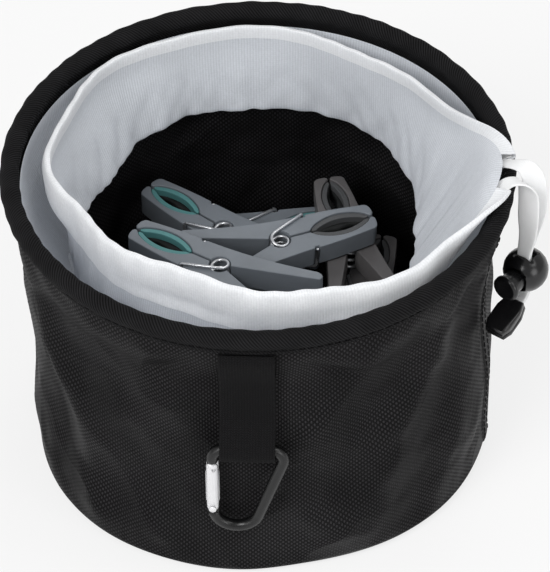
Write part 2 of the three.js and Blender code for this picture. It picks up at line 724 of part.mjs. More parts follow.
function lockBall() {
  const boreLength = BALL_RADIUS * 2;
  const bore = new THREE.CylinderGeometry(PLUNGER_RADIUS + CLEARANCE, PLUNGER_RADIUS + CLEARANCE, boreLength, 20);
  bore.rotateZ(PI / 2).translate(springSeat + boreLength / 2, 0, 0);
  return cut(new THREE.SphereGeometry(BALL_RADIUS, 20, 14).rotateX(PI / 2), bore, lockSlot(0));
}

function lockPlunger() {
  const outer = BALL_RADIUS + PLUNGER_STICKOUT;
  const flange = outer - PLUNGER_STICKOUT + PLUNGER_TRAVEL + CLEARANCE;
  const dish = 0.7;
  const profile = [
    v2(0, plungerInner),
    v2(PLUNGER_RADIUS - dish, plungerInner),
    v2(PLUNGER_RADIUS, plungerInner + dish),
    v2(PLUNGER_RADIUS, flange),
    v2(PLUNGER_FLANGE, flange + dish),
    v2(PLUNGER_FLANGE, outer - dish),
    v2(PLUNGER_FLANGE - dish, outer),
    v2(PLUNGER_RADIUS - dish, outer),
    v2(0, outer - dish),
  ];
  const plunger = new THREE.LatheGeometry(profile, 20).rotateZ(-PI / 2);
  return cut(plunger, lockSlot(PLUNGER_TRAVEL));
}

function coilPoints(radius, length, turns, stepsPerTurn) {
  const points = [];
  for (let i = 0; i <= turns * stepsPerTurn; i += 1) {
    const turn = (2 * PI * i) / stepsPerTurn;
    points.push(v3((length * i) / (turns * stepsPerTurn), radius * cos(turn), radius * sin(turn)));
  }
  return points;
}

const CURL_STEPS = 8;
const CURL_SIDES = 5;

const lockCoil = coilPoints(LOCK_SPRING_RADIUS, LOCK_SPRING_LENGTH, LOCK_SPRING_TURNS, CURL_STEPS);
const lockCoilStart = plungerInner - CLEARANCE - LOCK_SPRING_WIRE / 2 - LOCK_SPRING_LENGTH;
const lockSpring = wire(lockCoil, LOCK_SPRING_WIRE / 2, CURL_SIDES).translate(lockCoilStart, 0, 0);
add(lock, "lock_ball", lockBall(), plasticBlack);
add(lock, "lock_plunger", lockPlunger(), plasticBlack);
add(lock, "lock_spring", lockSpring, springSteel);

// Cord end clip: two halves closed over the ribbon ends
const clip = new THREE.Group();
clip.position.copy(inLock(windowMiddle + CLIP_AHEAD, 0, -BALL_RADIUS - CLIP_DROP).addScaledVector(clipWay, 2));
clip.quaternion.setFromRotationMatrix(
  new THREE.Matrix4().makeBasis(clipWay, aside, clipWay.clone().cross(aside)),
);
exit.add(clip);

function clipHalf() {
  const half = CLIP_WIDTH / 2 - CLIP_CHAMFER;
  const neck = half * 0.72;
  const end = CLIP_LENGTH - 2 * CLIP_CHAMFER;
  const outline = new THREE.Shape([
    v2(0, -neck), v2(end * 0.3, -half), v2(end * 0.8, -half), v2(end, -neck),
    v2(end, neck), v2(end * 0.8, half), v2(end * 0.3, half), v2(0, neck),
  ]);
  const body = new THREE.ExtrudeGeometry(outline, {
    depth: CLIP_HALF_THICKNESS - CLIP_CHAMFER - CLEARANCE / 2,
    bevelEnabled: true,
    bevelThickness: CLIP_CHAMFER,
    bevelSize: CLIP_CHAMFER,
    bevelSegments: 1,
  });
  body.translate(CLIP_CHAMFER, 0, CLEARANCE / 2);
  const channelHalf = RIBBON_BUNCHED / 2 + CLEARANCE;
  const channelDepth = layerPitch / 2 + RIBBON_THICKNESS / 2 + CLEARANCE;
  const below = CLIP_LENGTH;
  const channel = boxBetween(v3(-below, -channelHalf, -below), v3(CLIP_CHANNEL, channelHalf, channelDepth));
  const parting = boxBetween(v3(-below, -below, -below), v3(2 * below, below, CLEARANCE / 2));
  return cut(body, channel, parting);
}

add(clip, "cord_end_front", clipHalf(), plasticBlack);
add(clip, "cord_end_back", clipHalf().rotateX(PI), plasticBlack);

// Webbing tab: sewn under the rim, it follows the wall's flare and loops round the snap hook

const tabOffset = FABRIC / 2 + CLEARANCE + TAB_CLOTH / 2;
const tabTop = bindingFoot - CLEARANCE;
const rodHeight = tabTop - TAB_DROP;
const loopRadius = ROD / 2 + TAB_LOOP_PLAY + TAB_CLOTH / 2;
const rodReach = wallMiddle + tabOffset + loopRadius;

function webbingTab() {
  const plies = TAB_CLOTH + CLEARANCE;
  const back = new THREE.Path();
  back.moveTo(wallMiddle + tabOffset, rodHeight);
  back.lineTo(wallMiddle + tabOffset, flareFoot);
  flareCurve(back, tabOffset);
  back.lineTo(wallTopRadius + tabOffset, tabTop);
  const front = new THREE.Path();
  front.absarc(rodReach, rodHeight, loopRadius, PI, 2 * PI, false);
  front.bezierCurveTo(
    rodReach + loopRadius, rodHeight + TAB_LOOP_LENGTH / 2,
    wallMiddle + tabOffset + plies, rodHeight + TAB_LOOP_LENGTH / 2,
    wallMiddle + tabOffset + plies, rodHeight + TAB_LOOP_LENGTH,
  );
  front.lineTo(wallMiddle + tabOffset + plies, flareFoot);
  flareCurve(front, tabOffset + plies);
  front.lineTo(wallTopRadius + tabOffset + plies, tabTop);
  const backLine = back.getPoints(4).reverse();
  const line = [...backLine, ...front.getPoints(4).slice(1)];
  const shape = new THREE.Shape(thickened(line, TAB_CLOTH));
  const tab = new THREE.ExtrudeGeometry(shape, { depth: TAB_WIDTH, bevelEnabled: false });
  const basis = new THREE.Matrix4().makeBasis(v3(0, -1, 0), v3(0, 0, 1), v3(-1, 0, 0));
  return tab.translate(0, 0, -TAB_WIDTH / 2).applyMatrix4(basis);
}

add(basket, "webbing_tab", webbingTab(), webbingBlack);

// Snap hook: a bent rod with a sprung gate between its nose and its tongue. In the hook's group
// X lies across, Z up, and the origin is the middle of the top bar
const hook = new THREE.Group();
hook.position.set(0, -rodReach, rodHeight);
basket.add(hook);

const gateX = -HOOK_HALF_WIDTH;
const gatePivot = v3(gateX, 0, -GATE_PIVOT_DROP);
const gateRadius = GATE_DIAMETER / 2;
const forkHalf = TONGUE / 2 + CLEARANCE;
const noseDrop = GATE_TOP_DROP - 2 * CLEARANCE;
const pinPlace = v3(gateX + LATCH_PIN_RADIUS, 0, -GATE_TOP_DROP - LATCH_LENGTH / 2 + 0.2);
const latchFoot = -noseDrop - LATCH_LENGTH + CLEARANCE;

function hookLine() {
  const foot = v2(gateX + HOOK_FOOT_RADIUS, -HOOK_FOOT_DROP);
  const corner = v2(HOOK_HALF_WIDTH - HOOK_CORNER, -HOOK_CORNER);
  const between = corner.clone().sub(foot);
  const slant = between.angle() - acos((HOOK_FOOT_RADIUS - HOOK_CORNER) / between.length());
  const path = new THREE.Path();
  path.moveTo(gateX, -GATE_PIVOT_DROP);
  path.lineTo(gateX, -HOOK_FOOT_DROP);
  path.absarc(foot.x, foot.y, HOOK_FOOT_RADIUS, PI, 2 * PI + slant, false);
  path.absarc(corner.x, corner.y, HOOK_CORNER, slant, PI / 2, false);
  path.absarc(-corner.x, -HOOK_CORNER, HOOK_CORNER, PI / 2, PI, false);
  path.lineTo(gateX, -noseDrop);
  return path.getPoints(6).map((point) => v3(point.x, 0, point.y));
}

function hookBody() {
  const rod = wire(hookLine(), ROD / 2, 10);
  const pivotDisc = barAlongY(ROD / 2, TONGUE, gatePivot);
  const far = 2 * ROD;
  const shoulder = -GATE_PIVOT_DROP - gateRadius - 2 * CLEARANCE;
  const nearSide = boxBetween(v3(gateX - far, TONGUE / 2, shoulder), v3(gateX + far, far, -GATE_PIVOT_DROP + far));
  const farSide = nearSide.clone().translate(0, -far - TONGUE / 2, 0);
  const rivetHole = barAlongY(RIVET_RADIUS + CLEARANCE, far, gatePivot);
  const stemLeft = gateX - ROD / 2 + CLEARANCE;
  const stem = boxBetween(
    v3(stemLeft, -TONGUE / 2, latchFoot),
    v3(stemLeft + LATCH_STEM, TONGUE / 2, -noseDrop + ROD / 2),
  );
  const catchTop = pinPlace.z - LATCH_PIN_RADIUS - CLEARANCE;
  const catchFoot = boxBetween(
    v3(stemLeft, -TONGUE / 2, latchFoot),
    v3(pinPlace.x, TONGUE / 2, catchTop),
  );
  return join(cut(join(cut(rod, nearSide, farSide), pivotDisc), rivetHole), stem, catchFoot);
}

function hookGate() {
  const top = -GATE_TOP_DROP;
  const bottom = -GATE_PIVOT_DROP;
  const profile = new THREE.Path();
  profile.moveTo(0, bottom - gateRadius);
  profile.absarc(0, bottom, gateRadius, -PI / 2, 0, false);
  profile.lineTo(gateRadius, top - 2 * CLEARANCE);
  profile.lineTo(gateRadius - 2 * CLEARANCE, top);
  profile.lineTo(0, top);
  const body = turned(profile.getPoints(4), 16).translate(gateX, 0, 0);
  const far = 2 * GATE_DIAMETER;
  const forkTop = bottom + ROD / 2 + 2 * CLEARANCE;
  const fork = boxBetween(v3(gateX - far, -forkHalf, bottom - far), v3(gateX + far, forkHalf, forkTop));
  const mouth = boxBetween(
    v3(gateX - far, -forkHalf, latchFoot - 2 * CLEARANCE),
    v3(gateX + far, forkHalf, top + far),
  );
  const rivetHole = barAlongY(RIVET_RADIUS + CLEARANCE, far, gatePivot);
  const pinHole = barAlongY(LATCH_PIN_RADIUS + CLEARANCE / 2, far, pinPlace);
  const boreRadius = GATE_SPRING_RADIUS + GATE_SPRING_WIRE / 2 + CLEARANCE;
  const boreLength = GATE_SPRING_LENGTH + GATE_SPRING_WIRE + CLEARANCE;
  const bore = new THREE.CylinderGeometry(boreRadius, boreRadius, boreLength, 12);
  bore.rotateX(PI / 2).translate(gateX, 0, forkTop + boreLength / 2);
  return cut(body, fork, mouth, rivetHole, pinHole, bore);
}

function gateRivet() {
  const seat = gateRadius + CLEARANCE;
  const profile = [
    v2(0, -seat - RIVET_HEAD),
    v2(RIVET_HEAD_RADIUS - RIVET_HEAD / 2, -seat - RIVET_HEAD),
    v2(RIVET_HEAD_RADIUS, -seat - RIVET_HEAD / 2),
    v2(RIVET_HEAD_RADIUS, -seat),
    v2(RIVET_RADIUS, -seat),
    v2(RIVET_RADIUS, seat),
    v2(RIVET_HEAD_RADIUS, seat),
    v2(RIVET_HEAD_RADIUS, seat + RIVET_HEAD / 2),
    v2(RIVET_HEAD_RADIUS - RIVET_HEAD / 2, seat + RIVET_HEAD),
    v2(0, seat + RIVET_HEAD),
  ];
  return new THREE.LatheGeometry(profile, 12).translate(gatePivot.x, 0, gatePivot.z);
}

const gateCoil = coilPoints(GATE_SPRING_RADIUS, GATE_SPRING_LENGTH, GATE_SPRING_TURNS, CURL_STEPS);
const gateSpring = wire(gateCoil, GATE_SPRING_WIRE / 2, CURL_SIDES).rotateY(-PI / 2);
gateSpring.translate(gateX, 0, -GATE_PIVOT_DROP + ROD / 2 + 2 * CLEARANCE + GATE_SPRING_WIRE / 2);
const pinLength = 2 * sqrt(gateRadius ** 2 - (2 * LATCH_PIN_RADIUS) ** 2) - CLEARANCE;

add(hook, "hook_body", hookBody(), enamelBlack);
add(hook, "hook_gate", hookGate(), alloy);
add(hook, "gate_rivet", gateRivet(), alloy);
add(hook, "gate_latch_pin", barAlongY(LATCH_PIN_RADIUS, pinLength, pinPlace, 10), alloy);
add(hook, "gate_spring", gateSpring, springSteel);

// Clothes pegs: two halves that rock on each other over a wire spring. In a peg's own frame X leads
// to the jaws, Y across the gap and Z along the spring's coil

const coilRoom = PEG_COIL_RADIUS + PEG_WIRE / 2 + CLEARANCE;
const armHeight = PEG_WIDTH / 2 + CLEARANCE + PEG_WIRE / 2;
const hookWireDepth = PEG_JAW_DEPTH;
const grooveHalf = PEG_WIRE / 2 + CLEARANCE;

// One half, on the +Y side: a padded jaw with a wavy grip, the coil's seat and a splayed handle
function pegHalf() {
  const splay = radians(PEG_HANDLE_SPLAY);
  const grip = CLEARANCE;
  const gripStart = coilRoom + 1;
  const outline = new THREE.Shape();
  outline.moveTo(PEG_JAW - 1, grip);
  outline.lineTo(PEG_JAW, grip + 1);
  outline.lineTo(PEG_JAW, PEG_TIP_DEPTH - 2);
  outline.quadraticCurveTo(PEG_JAW, PEG_TIP_DEPTH, PEG_JAW - 2.5, PEG_TIP_DEPTH);
  outline.lineTo(PEG_HOOK_REACH + grooveHalf, PEG_JAW_DEPTH);
  outline.lineTo(PEG_HOOK_REACH + grooveHalf, PEG_JAW_DEPTH - grooveHalf);
  outline.lineTo(PEG_HOOK_REACH - grooveHalf, PEG_JAW_DEPTH - grooveHalf);
  outline.lineTo(PEG_HOOK_REACH - grooveHalf, PEG_JAW_DEPTH);
  const tip = v2(-PEG_HANDLE * cos(splay), PEG_HANDLE * sin(splay));
  outline.lineTo(-coilRoom, PEG_JAW_DEPTH + CLEARANCE);
  outline.lineTo(tip.x + 2, tip.y + PEG_HANDLE_TIP);
  outline.quadraticCurveTo(tip.x - 1, tip.y + PEG_HANDLE_TIP, tip.x, tip.y);
  outline.lineTo(-coilRoom * cos(splay), coilRoom * sin(splay));
  outline.absarc(0, 0, coilRoom, PI - splay, 0.08, true);
  const waves = 3;
  const waveSteps = waves * 3;
  for (let i = 0; i <= waveSteps; i += 1) {
    const t = i / waveSteps;
    const x = gripStart + (PEG_JAW - 2 - gripStart) * t;
    outline.lineTo(x, grip + (PEG_PAD_WAVE * (1 - cos(2 * PI * waves * t))) / 2);
  }
  const half = new THREE.ExtrudeGeometry(outline, { depth: PEG_WIDTH, bevelEnabled: false, curveSegments: 4 });
  return half.translate(0, 0, -PEG_WIDTH / 2);
}

// The spring's line: a hook in one half's groove, an arm to the coil, the coil, and the same back
function pegSpringLine() {
  const leave = acos(PEG_COIL_RADIUS / sqrt(PEG_HOOK_REACH ** 2 + hookWireDepth ** 2));
  const start = v2(PEG_HOOK_REACH, hookWireDepth).angle() + leave;
  const sweep = 2 * PI * PEG_COIL_TURNS + 2 * (PI - start);
  const steps = round((sweep / (2 * PI)) * CURL_STEPS);
  const bend = PEG_WIRE;
  const hookEnd = PEG_WIDTH / 2 - bend;
  const points = [
    v3(PEG_HOOK_REACH, hookWireDepth, -hookEnd),
    v3(PEG_HOOK_REACH, hookWireDepth, armHeight - bend),
    v3(PEG_HOOK_REACH - bend / 2, hookWireDepth - bend / 4, armHeight),
  ];
  for (let i = 0; i <= steps; i += 1) {
    const turn = start + (sweep * i) / steps;
    const height = armHeight - (2 * armHeight * i) / steps;
    points.push(v3(PEG_COIL_RADIUS * cos(turn), PEG_COIL_RADIUS * sin(turn), height));
  }
  points.push(
    v3(PEG_HOOK_REACH - bend / 2, -hookWireDepth + bend / 4, -armHeight),
    v3(PEG_HOOK_REACH, -hookWireDepth, -armHeight + bend),
    v3(PEG_HOOK_REACH, -hookWireDepth, hookEnd),
  );
  return points;
}

const armReach = armHeight + PEG_WIRE / 2;
const pegLayer = armReach + PEG_WIDTH / 2 + CLEARANCE;
const pegFloor = BASE_THICKNESS + CLEARANCE + armReach;
const pegSpring = pegSpringLine();

PEGS.forEach((peg, i) => {
  const group = new THREE.Group();
  group.position.set(peg.x * PEG_GRID, peg.y * PEG_GRID, pegFloor + peg.layer * pegLayer);
  group.rotation.set(radians(peg.lean), 0, radians(peg.heading), "ZYX");
  basket.add(group);
  const upper = pegHalf();
  const lower = pegHalf().rotateX(PI);
  const number = i + 1;
  add(group, `peg_${number}_body`, peg.side > 0 ? lower : upper, pegGrey);
  add(group, `peg_${number}_lever`, peg.side > 0 ? upper : lower, pegGrey);
  add(group, `peg_${number}_spring`, wire(pegSpring, PEG_WIRE / 2, CURL_SIDES), springSteel);
});

const halfTurn = (radius) => PI * radius;
console.log("peg spring gap", leastGap(pegSpring, PEG_WIRE, halfTurn(PEG_COIL_RADIUS)).toFixed(2));
console.log("lock spring gap", leastGap(lockCoil, LOCK_SPRING_WIRE, halfTurn(LOCK_SPRING_RADIUS)).toFixed(2));
console.log("gate spring gap", leastGap(gateCoil, GATE_SPRING_WIRE, halfTurn(GATE_SPRING_RADIUS)).toFixed(2));

export default basket;
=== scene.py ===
# Peg basket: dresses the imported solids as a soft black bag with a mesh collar, cord lock, snap hook and pegs.
# Lengths are millimetres until a mesh is made, and the frame is the solids' own: +Z up, the tab at -Y.
import math
import bpy
import numpy as np
from mathutils import Matrix, Vector


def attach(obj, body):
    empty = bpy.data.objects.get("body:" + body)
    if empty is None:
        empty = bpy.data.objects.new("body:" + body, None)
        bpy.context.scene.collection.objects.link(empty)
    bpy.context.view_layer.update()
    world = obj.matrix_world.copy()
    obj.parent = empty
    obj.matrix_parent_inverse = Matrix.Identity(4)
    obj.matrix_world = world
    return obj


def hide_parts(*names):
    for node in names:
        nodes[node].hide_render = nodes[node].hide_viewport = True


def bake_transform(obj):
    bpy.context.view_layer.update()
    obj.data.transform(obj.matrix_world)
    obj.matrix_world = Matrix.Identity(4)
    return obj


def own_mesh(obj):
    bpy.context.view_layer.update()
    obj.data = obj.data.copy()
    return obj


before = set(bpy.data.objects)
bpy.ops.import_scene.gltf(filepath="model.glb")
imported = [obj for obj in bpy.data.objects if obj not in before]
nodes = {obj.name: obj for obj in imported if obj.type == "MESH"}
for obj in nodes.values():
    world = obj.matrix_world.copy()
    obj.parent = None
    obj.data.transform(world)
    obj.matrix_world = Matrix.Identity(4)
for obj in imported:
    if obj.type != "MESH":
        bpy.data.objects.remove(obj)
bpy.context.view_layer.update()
scene = bpy.context.scene
MM = 0.001
UV_UNIT = 100.0

# Sizes taken over from the solids
BODY_RADIUS = 86
FABRIC = 1.2
BASE_SEAM_INSET = 13
BASE_THICKNESS = 1.4
RIM_TOP = 126
RIM_RADIUS = 90.5
RIM_ROUND = 3.6
CLEARANCE = 0.3
BINDING_CLOTH = 0.9
MESH = 0.7
HEM_FOLD = 1.3
TUNNEL_HEIGHT = 11
GATHERS = 8
GATHER_DEPTH = 1.2
EXIT_ANGLE = -6
EXIT_GAP = 18
RIBBON_WIDTH = 8.4
RIBBON_THICKNESS = 0.8
RIBBON_BUNCHED = 5.6
RIBBON_GATHERED = 7
BALL_RADIUS = 8.5
BALL_REACH = 99.5
BALL_HEIGHT = 85
PLUNGER_HEADING = -118
PLUNGER_TRAVEL = 2.6
CLIP_AHEAD = 2.2
CLIP_DROP = 3.4
TAB_WIDTH = 20
TAB_CLOTH = 1.4
TAB_DROP = 47
TAB_LOOP_PLAY = 1.1
TAB_LOOP_LENGTH = 17
ROD = 4.4
PEG_WIDTH = 10
PEG_JAW = 38
PEG_HANDLE = 38
PEG_JAW_DEPTH = 8.4
PEG_TIP_DEPTH = 6.2
PEG_HANDLE_SPLAY = 19
PEG_HANDLE_TIP = 3.4
PEG_WIRE = 1.2
PEG_COIL_RADIUS = 3.2
PEG_COIL_TURNS = 3
PEG_HOOK_REACH = 12
PEG_FLOOR = 8.2
PEG_LAYER = 11.8
PEG_GRID = 10
# Layer, place of the coil on the grid, heading of the jaws, lean, side of the moving half, grip colour
PEGS = [
    (0, -1.6, 3, 40, 0, 1, "grey"),
    (0, 1.4, -0.6, 220, 0, 1, "teal"),
    (1, -2.2, 1.2, 132, 0, 1, "grey"),
    (1, 1.8, 2.6, -48, 0, 1, "grey"),
    (2, -2, 3.2, 40, 0, 1, "teal"),
    (2, 1.6, 0, 220, 0, -1, "grey"),
    (3, -0.6, 4.8, 14, 0, 1, "teal"),
    (3, 3.9, 0.9, 80, 0, -1, "grey"),
    (4, -1.55, 3.55, 142, 0, 1, "teal"),
    (4, 3.3, 2.9, 104, 0, -1, "grey"),
    (5.03, 0.7, 1.7, 23, 8, 1, "grey"),
    (5.95, -1.4, -1, 150, 0, 1, "teal"),
]

# The wall's top inside the hoop, the binding's legs below it, and the wall's flare below them
WALL_INSET = 1
BINDING_LEGS = 2.8
FLARE_GAP = 2.8
FLARE = 18

hoop_height = RIM_TOP - RIM_ROUND
wall_middle = BODY_RADIUS - FABRIC / 2
wall_top_radius = RIM_RADIUS - WALL_INSET
binding_foot = hoop_height - RIM_ROUND - BINDING_LEGS
flare_top = binding_foot - FLARE_GAP
flare_foot = flare_top - FLARE
tab_offset = FABRIC / 2 + CLEARANCE + TAB_CLOTH / 2
tab_top = binding_foot - CLEARANCE


# Shader building

# Where most of a cloud's values lie
CLOUD_RANGE = (0.3, 0.7)


class Finish:
    """A procedural material on one Principled shader, with its detail measured in millimetres."""

    def __init__(self, name, color, roughness, metallic=0.0, **sockets):
        self.material = bpy.data.materials.new(name)
        self.material.use_nodes = True
        self.tree = self.material.node_tree
        self.shader = self.tree.nodes["Principled BSDF"]
        self.color = color
        self.shader.inputs["Base Color"].default_value = (*color, 1)
        self.shader.inputs["Roughness"].default_value = roughness
        self.shader.inputs["Metallic"].default_value = metallic
        for socket, value in sockets.items():
            self.shader.inputs[socket.replace("_", " ")].default_value = value

    def node(self, kind, **settings):
        made = self.tree.nodes.new(kind)
        for key, value in settings.items():
            setattr(made, key, value)
        return made

    def feed(self, socket, value):
        if isinstance(value, bpy.types.NodeSocket):
            self.tree.links.new(value, socket)
        else:
            socket.default_value = value

    def math(self, operation, *values):
        made = self.node("ShaderNodeMath", operation=operation)
        for socket, value in zip(made.inputs, values):
            self.feed(socket, value)
        return made.outputs[0]

    def cloth_place(self):
        """Distances along the cloth's two ways, in millimetres."""
        split = self.node("ShaderNodeSeparateXYZ")
        self.feed(split.inputs[0], self.node("ShaderNodeUVMap").outputs[0])
        return [self.math("MULTIPLY", split.outputs[i], UV_UNIT) for i in (0, 1)]

    def object_place(self):
        return self.node("ShaderNodeTexCoord").outputs["Object"]

    def noise(self, grain, detail=3.0, vector=None):
        """Cloudy values with the given grain in millimetres."""
        made = self.node("ShaderNodeTexNoise")
        made.inputs["Scale"].default_value = 1 / (grain * MM)
        made.inputs["Detail"].default_value = detail
        self.feed(made.inputs["Vector"], vector or self.object_place())
        return made.outputs[0]

    def ridges(self, place, pitch):
        """Round threads side by side, from 0 in the gaps to 1 on the crowns."""
        turned = self.math("MULTIPLY", place, math.pi / pitch)
        return self.math("ABSOLUTE", self.math("SINE", turned))

    def weave(self, u, v, pitch, sunk):
        """Plain weave: crossways threads take turns on top, one way sunk to a share of the other."""
        steps = [self.math("FLOOR", self.math("DIVIDE", way, pitch)) for way in (u, v)]
        turn = self.math("PINGPONG", self.math("ADD", *steps), 1.0)
        across = self.math("MULTIPLY", self.ridges(u, pitch), turn)
        below = self.math("MULTIPLY", self.math("SUBTRACT", 1.0, turn), sunk)
        return self.math("ADD", across, self.math("MULTIPLY", self.ridges(v, pitch), below))

    def scaled(self, value, low, high, source=(0.0, 1.0)):
        """A value from its source range, stretched to run from low to high."""
        made = self.node("ShaderNodeMapRange")
        self.feed(made.inputs["Value"], value)
        for socket, end in zip(("From Min", "From Max", "To Min", "To Max"), (*source, low, high)):
            made.inputs[socket].default_value = end
        return made.outputs[0]

    def spread(self, cloud):
        """Cloudy values spread out to fill 0 to 1."""
        return self.scaled(cloud, 0.0, 1.0, CLOUD_RANGE)

    def shade(self, *factors):
        """Base colour times the given values, each scaled to its lowest and highest."""
        product, *rest = [self.scaled(*factor) for factor in factors]
        for factor in rest:
            product = self.math("MULTIPLY", product, factor)
        made = self.node("ShaderNodeVectorMath", operation="SCALE")
        made.inputs[0].default_value = self.color
        self.feed(made.inputs["Scale"], product)
        self.feed(self.shader.inputs["Base Color"], made.outputs[0])

    def rough(self, value, low, high):
        self.feed(self.shader.inputs["Roughness"], self.scaled(value, low, high))

    def bump(self, height, depth):
        made = self.node("ShaderNodeBump")
        made.inputs["Distance"].default_value = depth * MM
        self.feed(made.inputs["Height"], height)
        self.feed(self.shader.inputs["Normal"], made.outputs[0])
        return self


# How deep the bag's threads, creases and crumples are
THREAD_DEPTH = 0.2
CREASE_DEPTH = 5.0
CRUMPLE_DEPTH = 1.4


def bag_cloth():
    f = Finish("bag_cloth", (0.0115, 0.0111, 0.0117), 0.6, Specular_IOR_Level=0.052)
    u, v = f.cloth_place()
    threads = f.weave(u, v, 1.0, 0.2)
    # cloud: soft lighter and darker patches, partly tone that wanders at random and partly painted light and
    # shade standing in for the lit and shaded facets of the folds
    cloud = f.spread(f.noise(30, 3))
    valley = f.math("ABSOLUTE", f.math("SUBTRACT", f.spread(f.noise(46, 1)), 0.5))
    creases = f.math("MULTIPLY", f.math("SUBTRACT", 0.5, valley), CREASE_DEPTH / THREAD_DEPTH)
    crumples = f.math("MULTIPLY", f.spread(f.noise(17, 1)), CRUMPLE_DEPTH / THREAD_DEPTH)
    # Base colour from the threads and the cloud; the cloud's patches are partly painted light and shade
    f.shade((threads, 0.2, 2.5), (cloud, 0.7, 1.35))
    f.rough(cloud, 0.54, 0.42)
    return f.bump(f.math("ADD", threads, f.math("ADD", creases, crumples)), THREAD_DEPTH).material


def binding_cloth():
    f = Finish("binding_cloth", (0.0066, 0.0065, 0.0069), 0.75, Specular_IOR_Level=0.06)
    u, v = f.cloth_place()
    ribs = f.ridges(f.math("ADD", u, f.math("MULTIPLY", v, 0.8)), 1.25)
    cloud = f.noise(9, 4)
    f.shade((ribs, 0.05, 2.4), (cloud, 0.6, 1.5))
    return f.bump(ribs, 0.22).material


def webbing_cloth():
    f = Finish("webbing", (0.0066, 0.0064, 0.0069), 0.7, Specular_IOR_Level=0.08)
    u, v = f.cloth_place()
    zigzag = f.math("ADD", v, f.math("MULTIPLY", f.math("PINGPONG", u, 1.0), 0.8))
    ribs = f.math("MULTIPLY", f.ridges(zigzag, 0.9), f.ridges(u, 1.0))
    fluff = f.noise(1.6, 4)
    f.shade((ribs, 0.6, 1.35), (fluff, 0.8, 1.25))
    return f.bump(ribs, 0.16).material


def collar_mesh(name, color, alpha, rib_shade):
    f = Finish(name, color, 0.75, Specular_IOR_Level=0.2, Sheen_Weight=0.05, Alpha=alpha)
    u, v = f.cloth_place()
    net = f.math("MULTIPLY", f.ridges(u, 1.1), f.scaled(f.ridges(v, 0.9), 0.6, 1.0))
    cloud = f.noise(14, 3)
    f.shade((net, rib_shade, 1.03), (cloud, 0.94, 1.03), (f.noise(0.9, 2), 0.9, 1.08))
    return f.bump(net, 0.1).material


def satin_ribbon():
    f = Finish("white_ribbon", (0.9, 0.905, 0.91), 0.42, Specular_IOR_Level=0.4, Sheen_Weight=0.15)
    u = f.cloth_place()[0]
    weft = f.ridges(u, 0.45)
    cloud = f.noise(6, 3)
    f.shade((weft, 0.94, 1.02), (cloud, 0.95, 1.02))
    return f.bump(weft, 0.04).material


def bare_alloy():
    f = Finish("bare_alloy", (0.78, 0.78, 0.795), 0.5, 0.25)
    stretch = f.node("ShaderNodeMapping")
    stretch.inputs["Scale"].default_value = (1, 1, 0.04)
    f.feed(stretch.inputs["Vector"], f.object_place())
    brushed = f.noise(0.25, 2, stretch.outputs[0])
    f.rough(brushed, 0.36, 0.54)
    f.shade((f.noise(4, 3), 0.9, 1.05))
    return f.bump(brushed, 0.01).material


def speckled(name, color, roughness, metallic=0.0, specular=0.5, rough=None, shade=None, grain=None):
    """A plain stuff. rough and shade give a cloud's size and detail, then its lowest and highest value;
    grain gives its size, detail and depth."""
    f = Finish(name, color, roughness, metallic, Specular_IOR_Level=specular)
    f.shade((f.noise(*shade[:2]), *shade[2:]))
    if rough:
        f.rough(f.noise(*rough[:2]), *rough[2:])
    if grain:
        f.bump(f.noise(*grain[:2]), grain[2])
    return f.material


def moulded(name, color, roughness):
    return speckled(name, color, roughness, specular=0.4, rough=(2.5, 3, roughness - 0.08, roughness + 0.1),
                    shade=(7, 4, 0.88, 1.12), grain=(0.35, 2, 0.012))


finishes = {
    "bag": bag_cloth(),
    "binding": binding_cloth(),
    "webbing": webbing_cloth(),
    # The single leaf is coloured greyer and bluer than the doubled tunnel of the same white mesh: partly the
    # thin single layer reflecting less, partly painted shade
    "collar": collar_mesh("white_mesh", (0.79, 0.82, 0.87), 0.88, 0.86),
    "tunnel": collar_mesh("white_mesh_doubled", (0.88, 0.895, 0.92), 0.97, 0.95),
    "ribbon": satin_ribbon(),
    "plastic": speckled("black_plastic", (0.007, 0.007, 0.0076), 0.25, rough=(5, 4, 0.16, 0.3),
                        shade=(4, 3, 0.8, 1.2), grain=(0.5, 2, 0.015)),
    "enamel": speckled("black_enamel", (0.0045, 0.0045, 0.0048), 0.3, specular=0.45, rough=(3, 4, 0.24, 0.36),
                       shade=(2, 4, 0.8, 1.25), grain=(0.7, 3, 0.012)),
    "alloy": bare_alloy(),
    "steel": speckled("spring_steel", (0.72, 0.73, 0.75), 0.28, 0.9, rough=(1.5, 3, 0.2, 0.38),
                      shade=(2, 3, 0.85, 1.05)),
    "peg": moulded("peg_plastic", (0.185, 0.204, 0.227), 0.42),
    "peg_dusky": moulded("peg_plastic_dusky", (0.128, 0.122, 0.123), 0.42),
    "grip_grey": moulded("peg_grip_grey", (0.08, 0.082, 0.085), 0.62),
    "grip_teal": moulded("peg_grip_teal", (0.095, 0.26, 0.26), 0.6),
    # Near-black sheet across each jaw's eye: painted shade of the open hole
    "grip_web": moulded("peg_grip_web", (0.006, 0.007, 0.007), 0.7),
    "thread": speckled("stitch_thread", (0.008, 0.0078, 0.0083), 0.7, specular=0.1, shade=(0.8, 3, 0.7, 1.4)),
}


# Mesh building

def mesh_from(name, points, faces, uvs=None):
    """A smooth mesh from points in millimetres; uvs give one place per face corner, in millimetres."""
    mesh = bpy.data.meshes.new(name)
    mesh.from_pydata((np.asarray(points, float) * MM).tolist(), [], [list(map(int, face)) for face in faces])
    if uvs is not None:
        layer = mesh.uv_layers.new(name="UVMap")
        layer.data.foreach_set("uv", (np.asarray(uvs, float) / UV_UNIT).ravel().astype(np.float32))
    mesh.polygons.foreach_set("use_smooth", np.full(len(mesh.polygons), True))
    mesh.update()
    return mesh


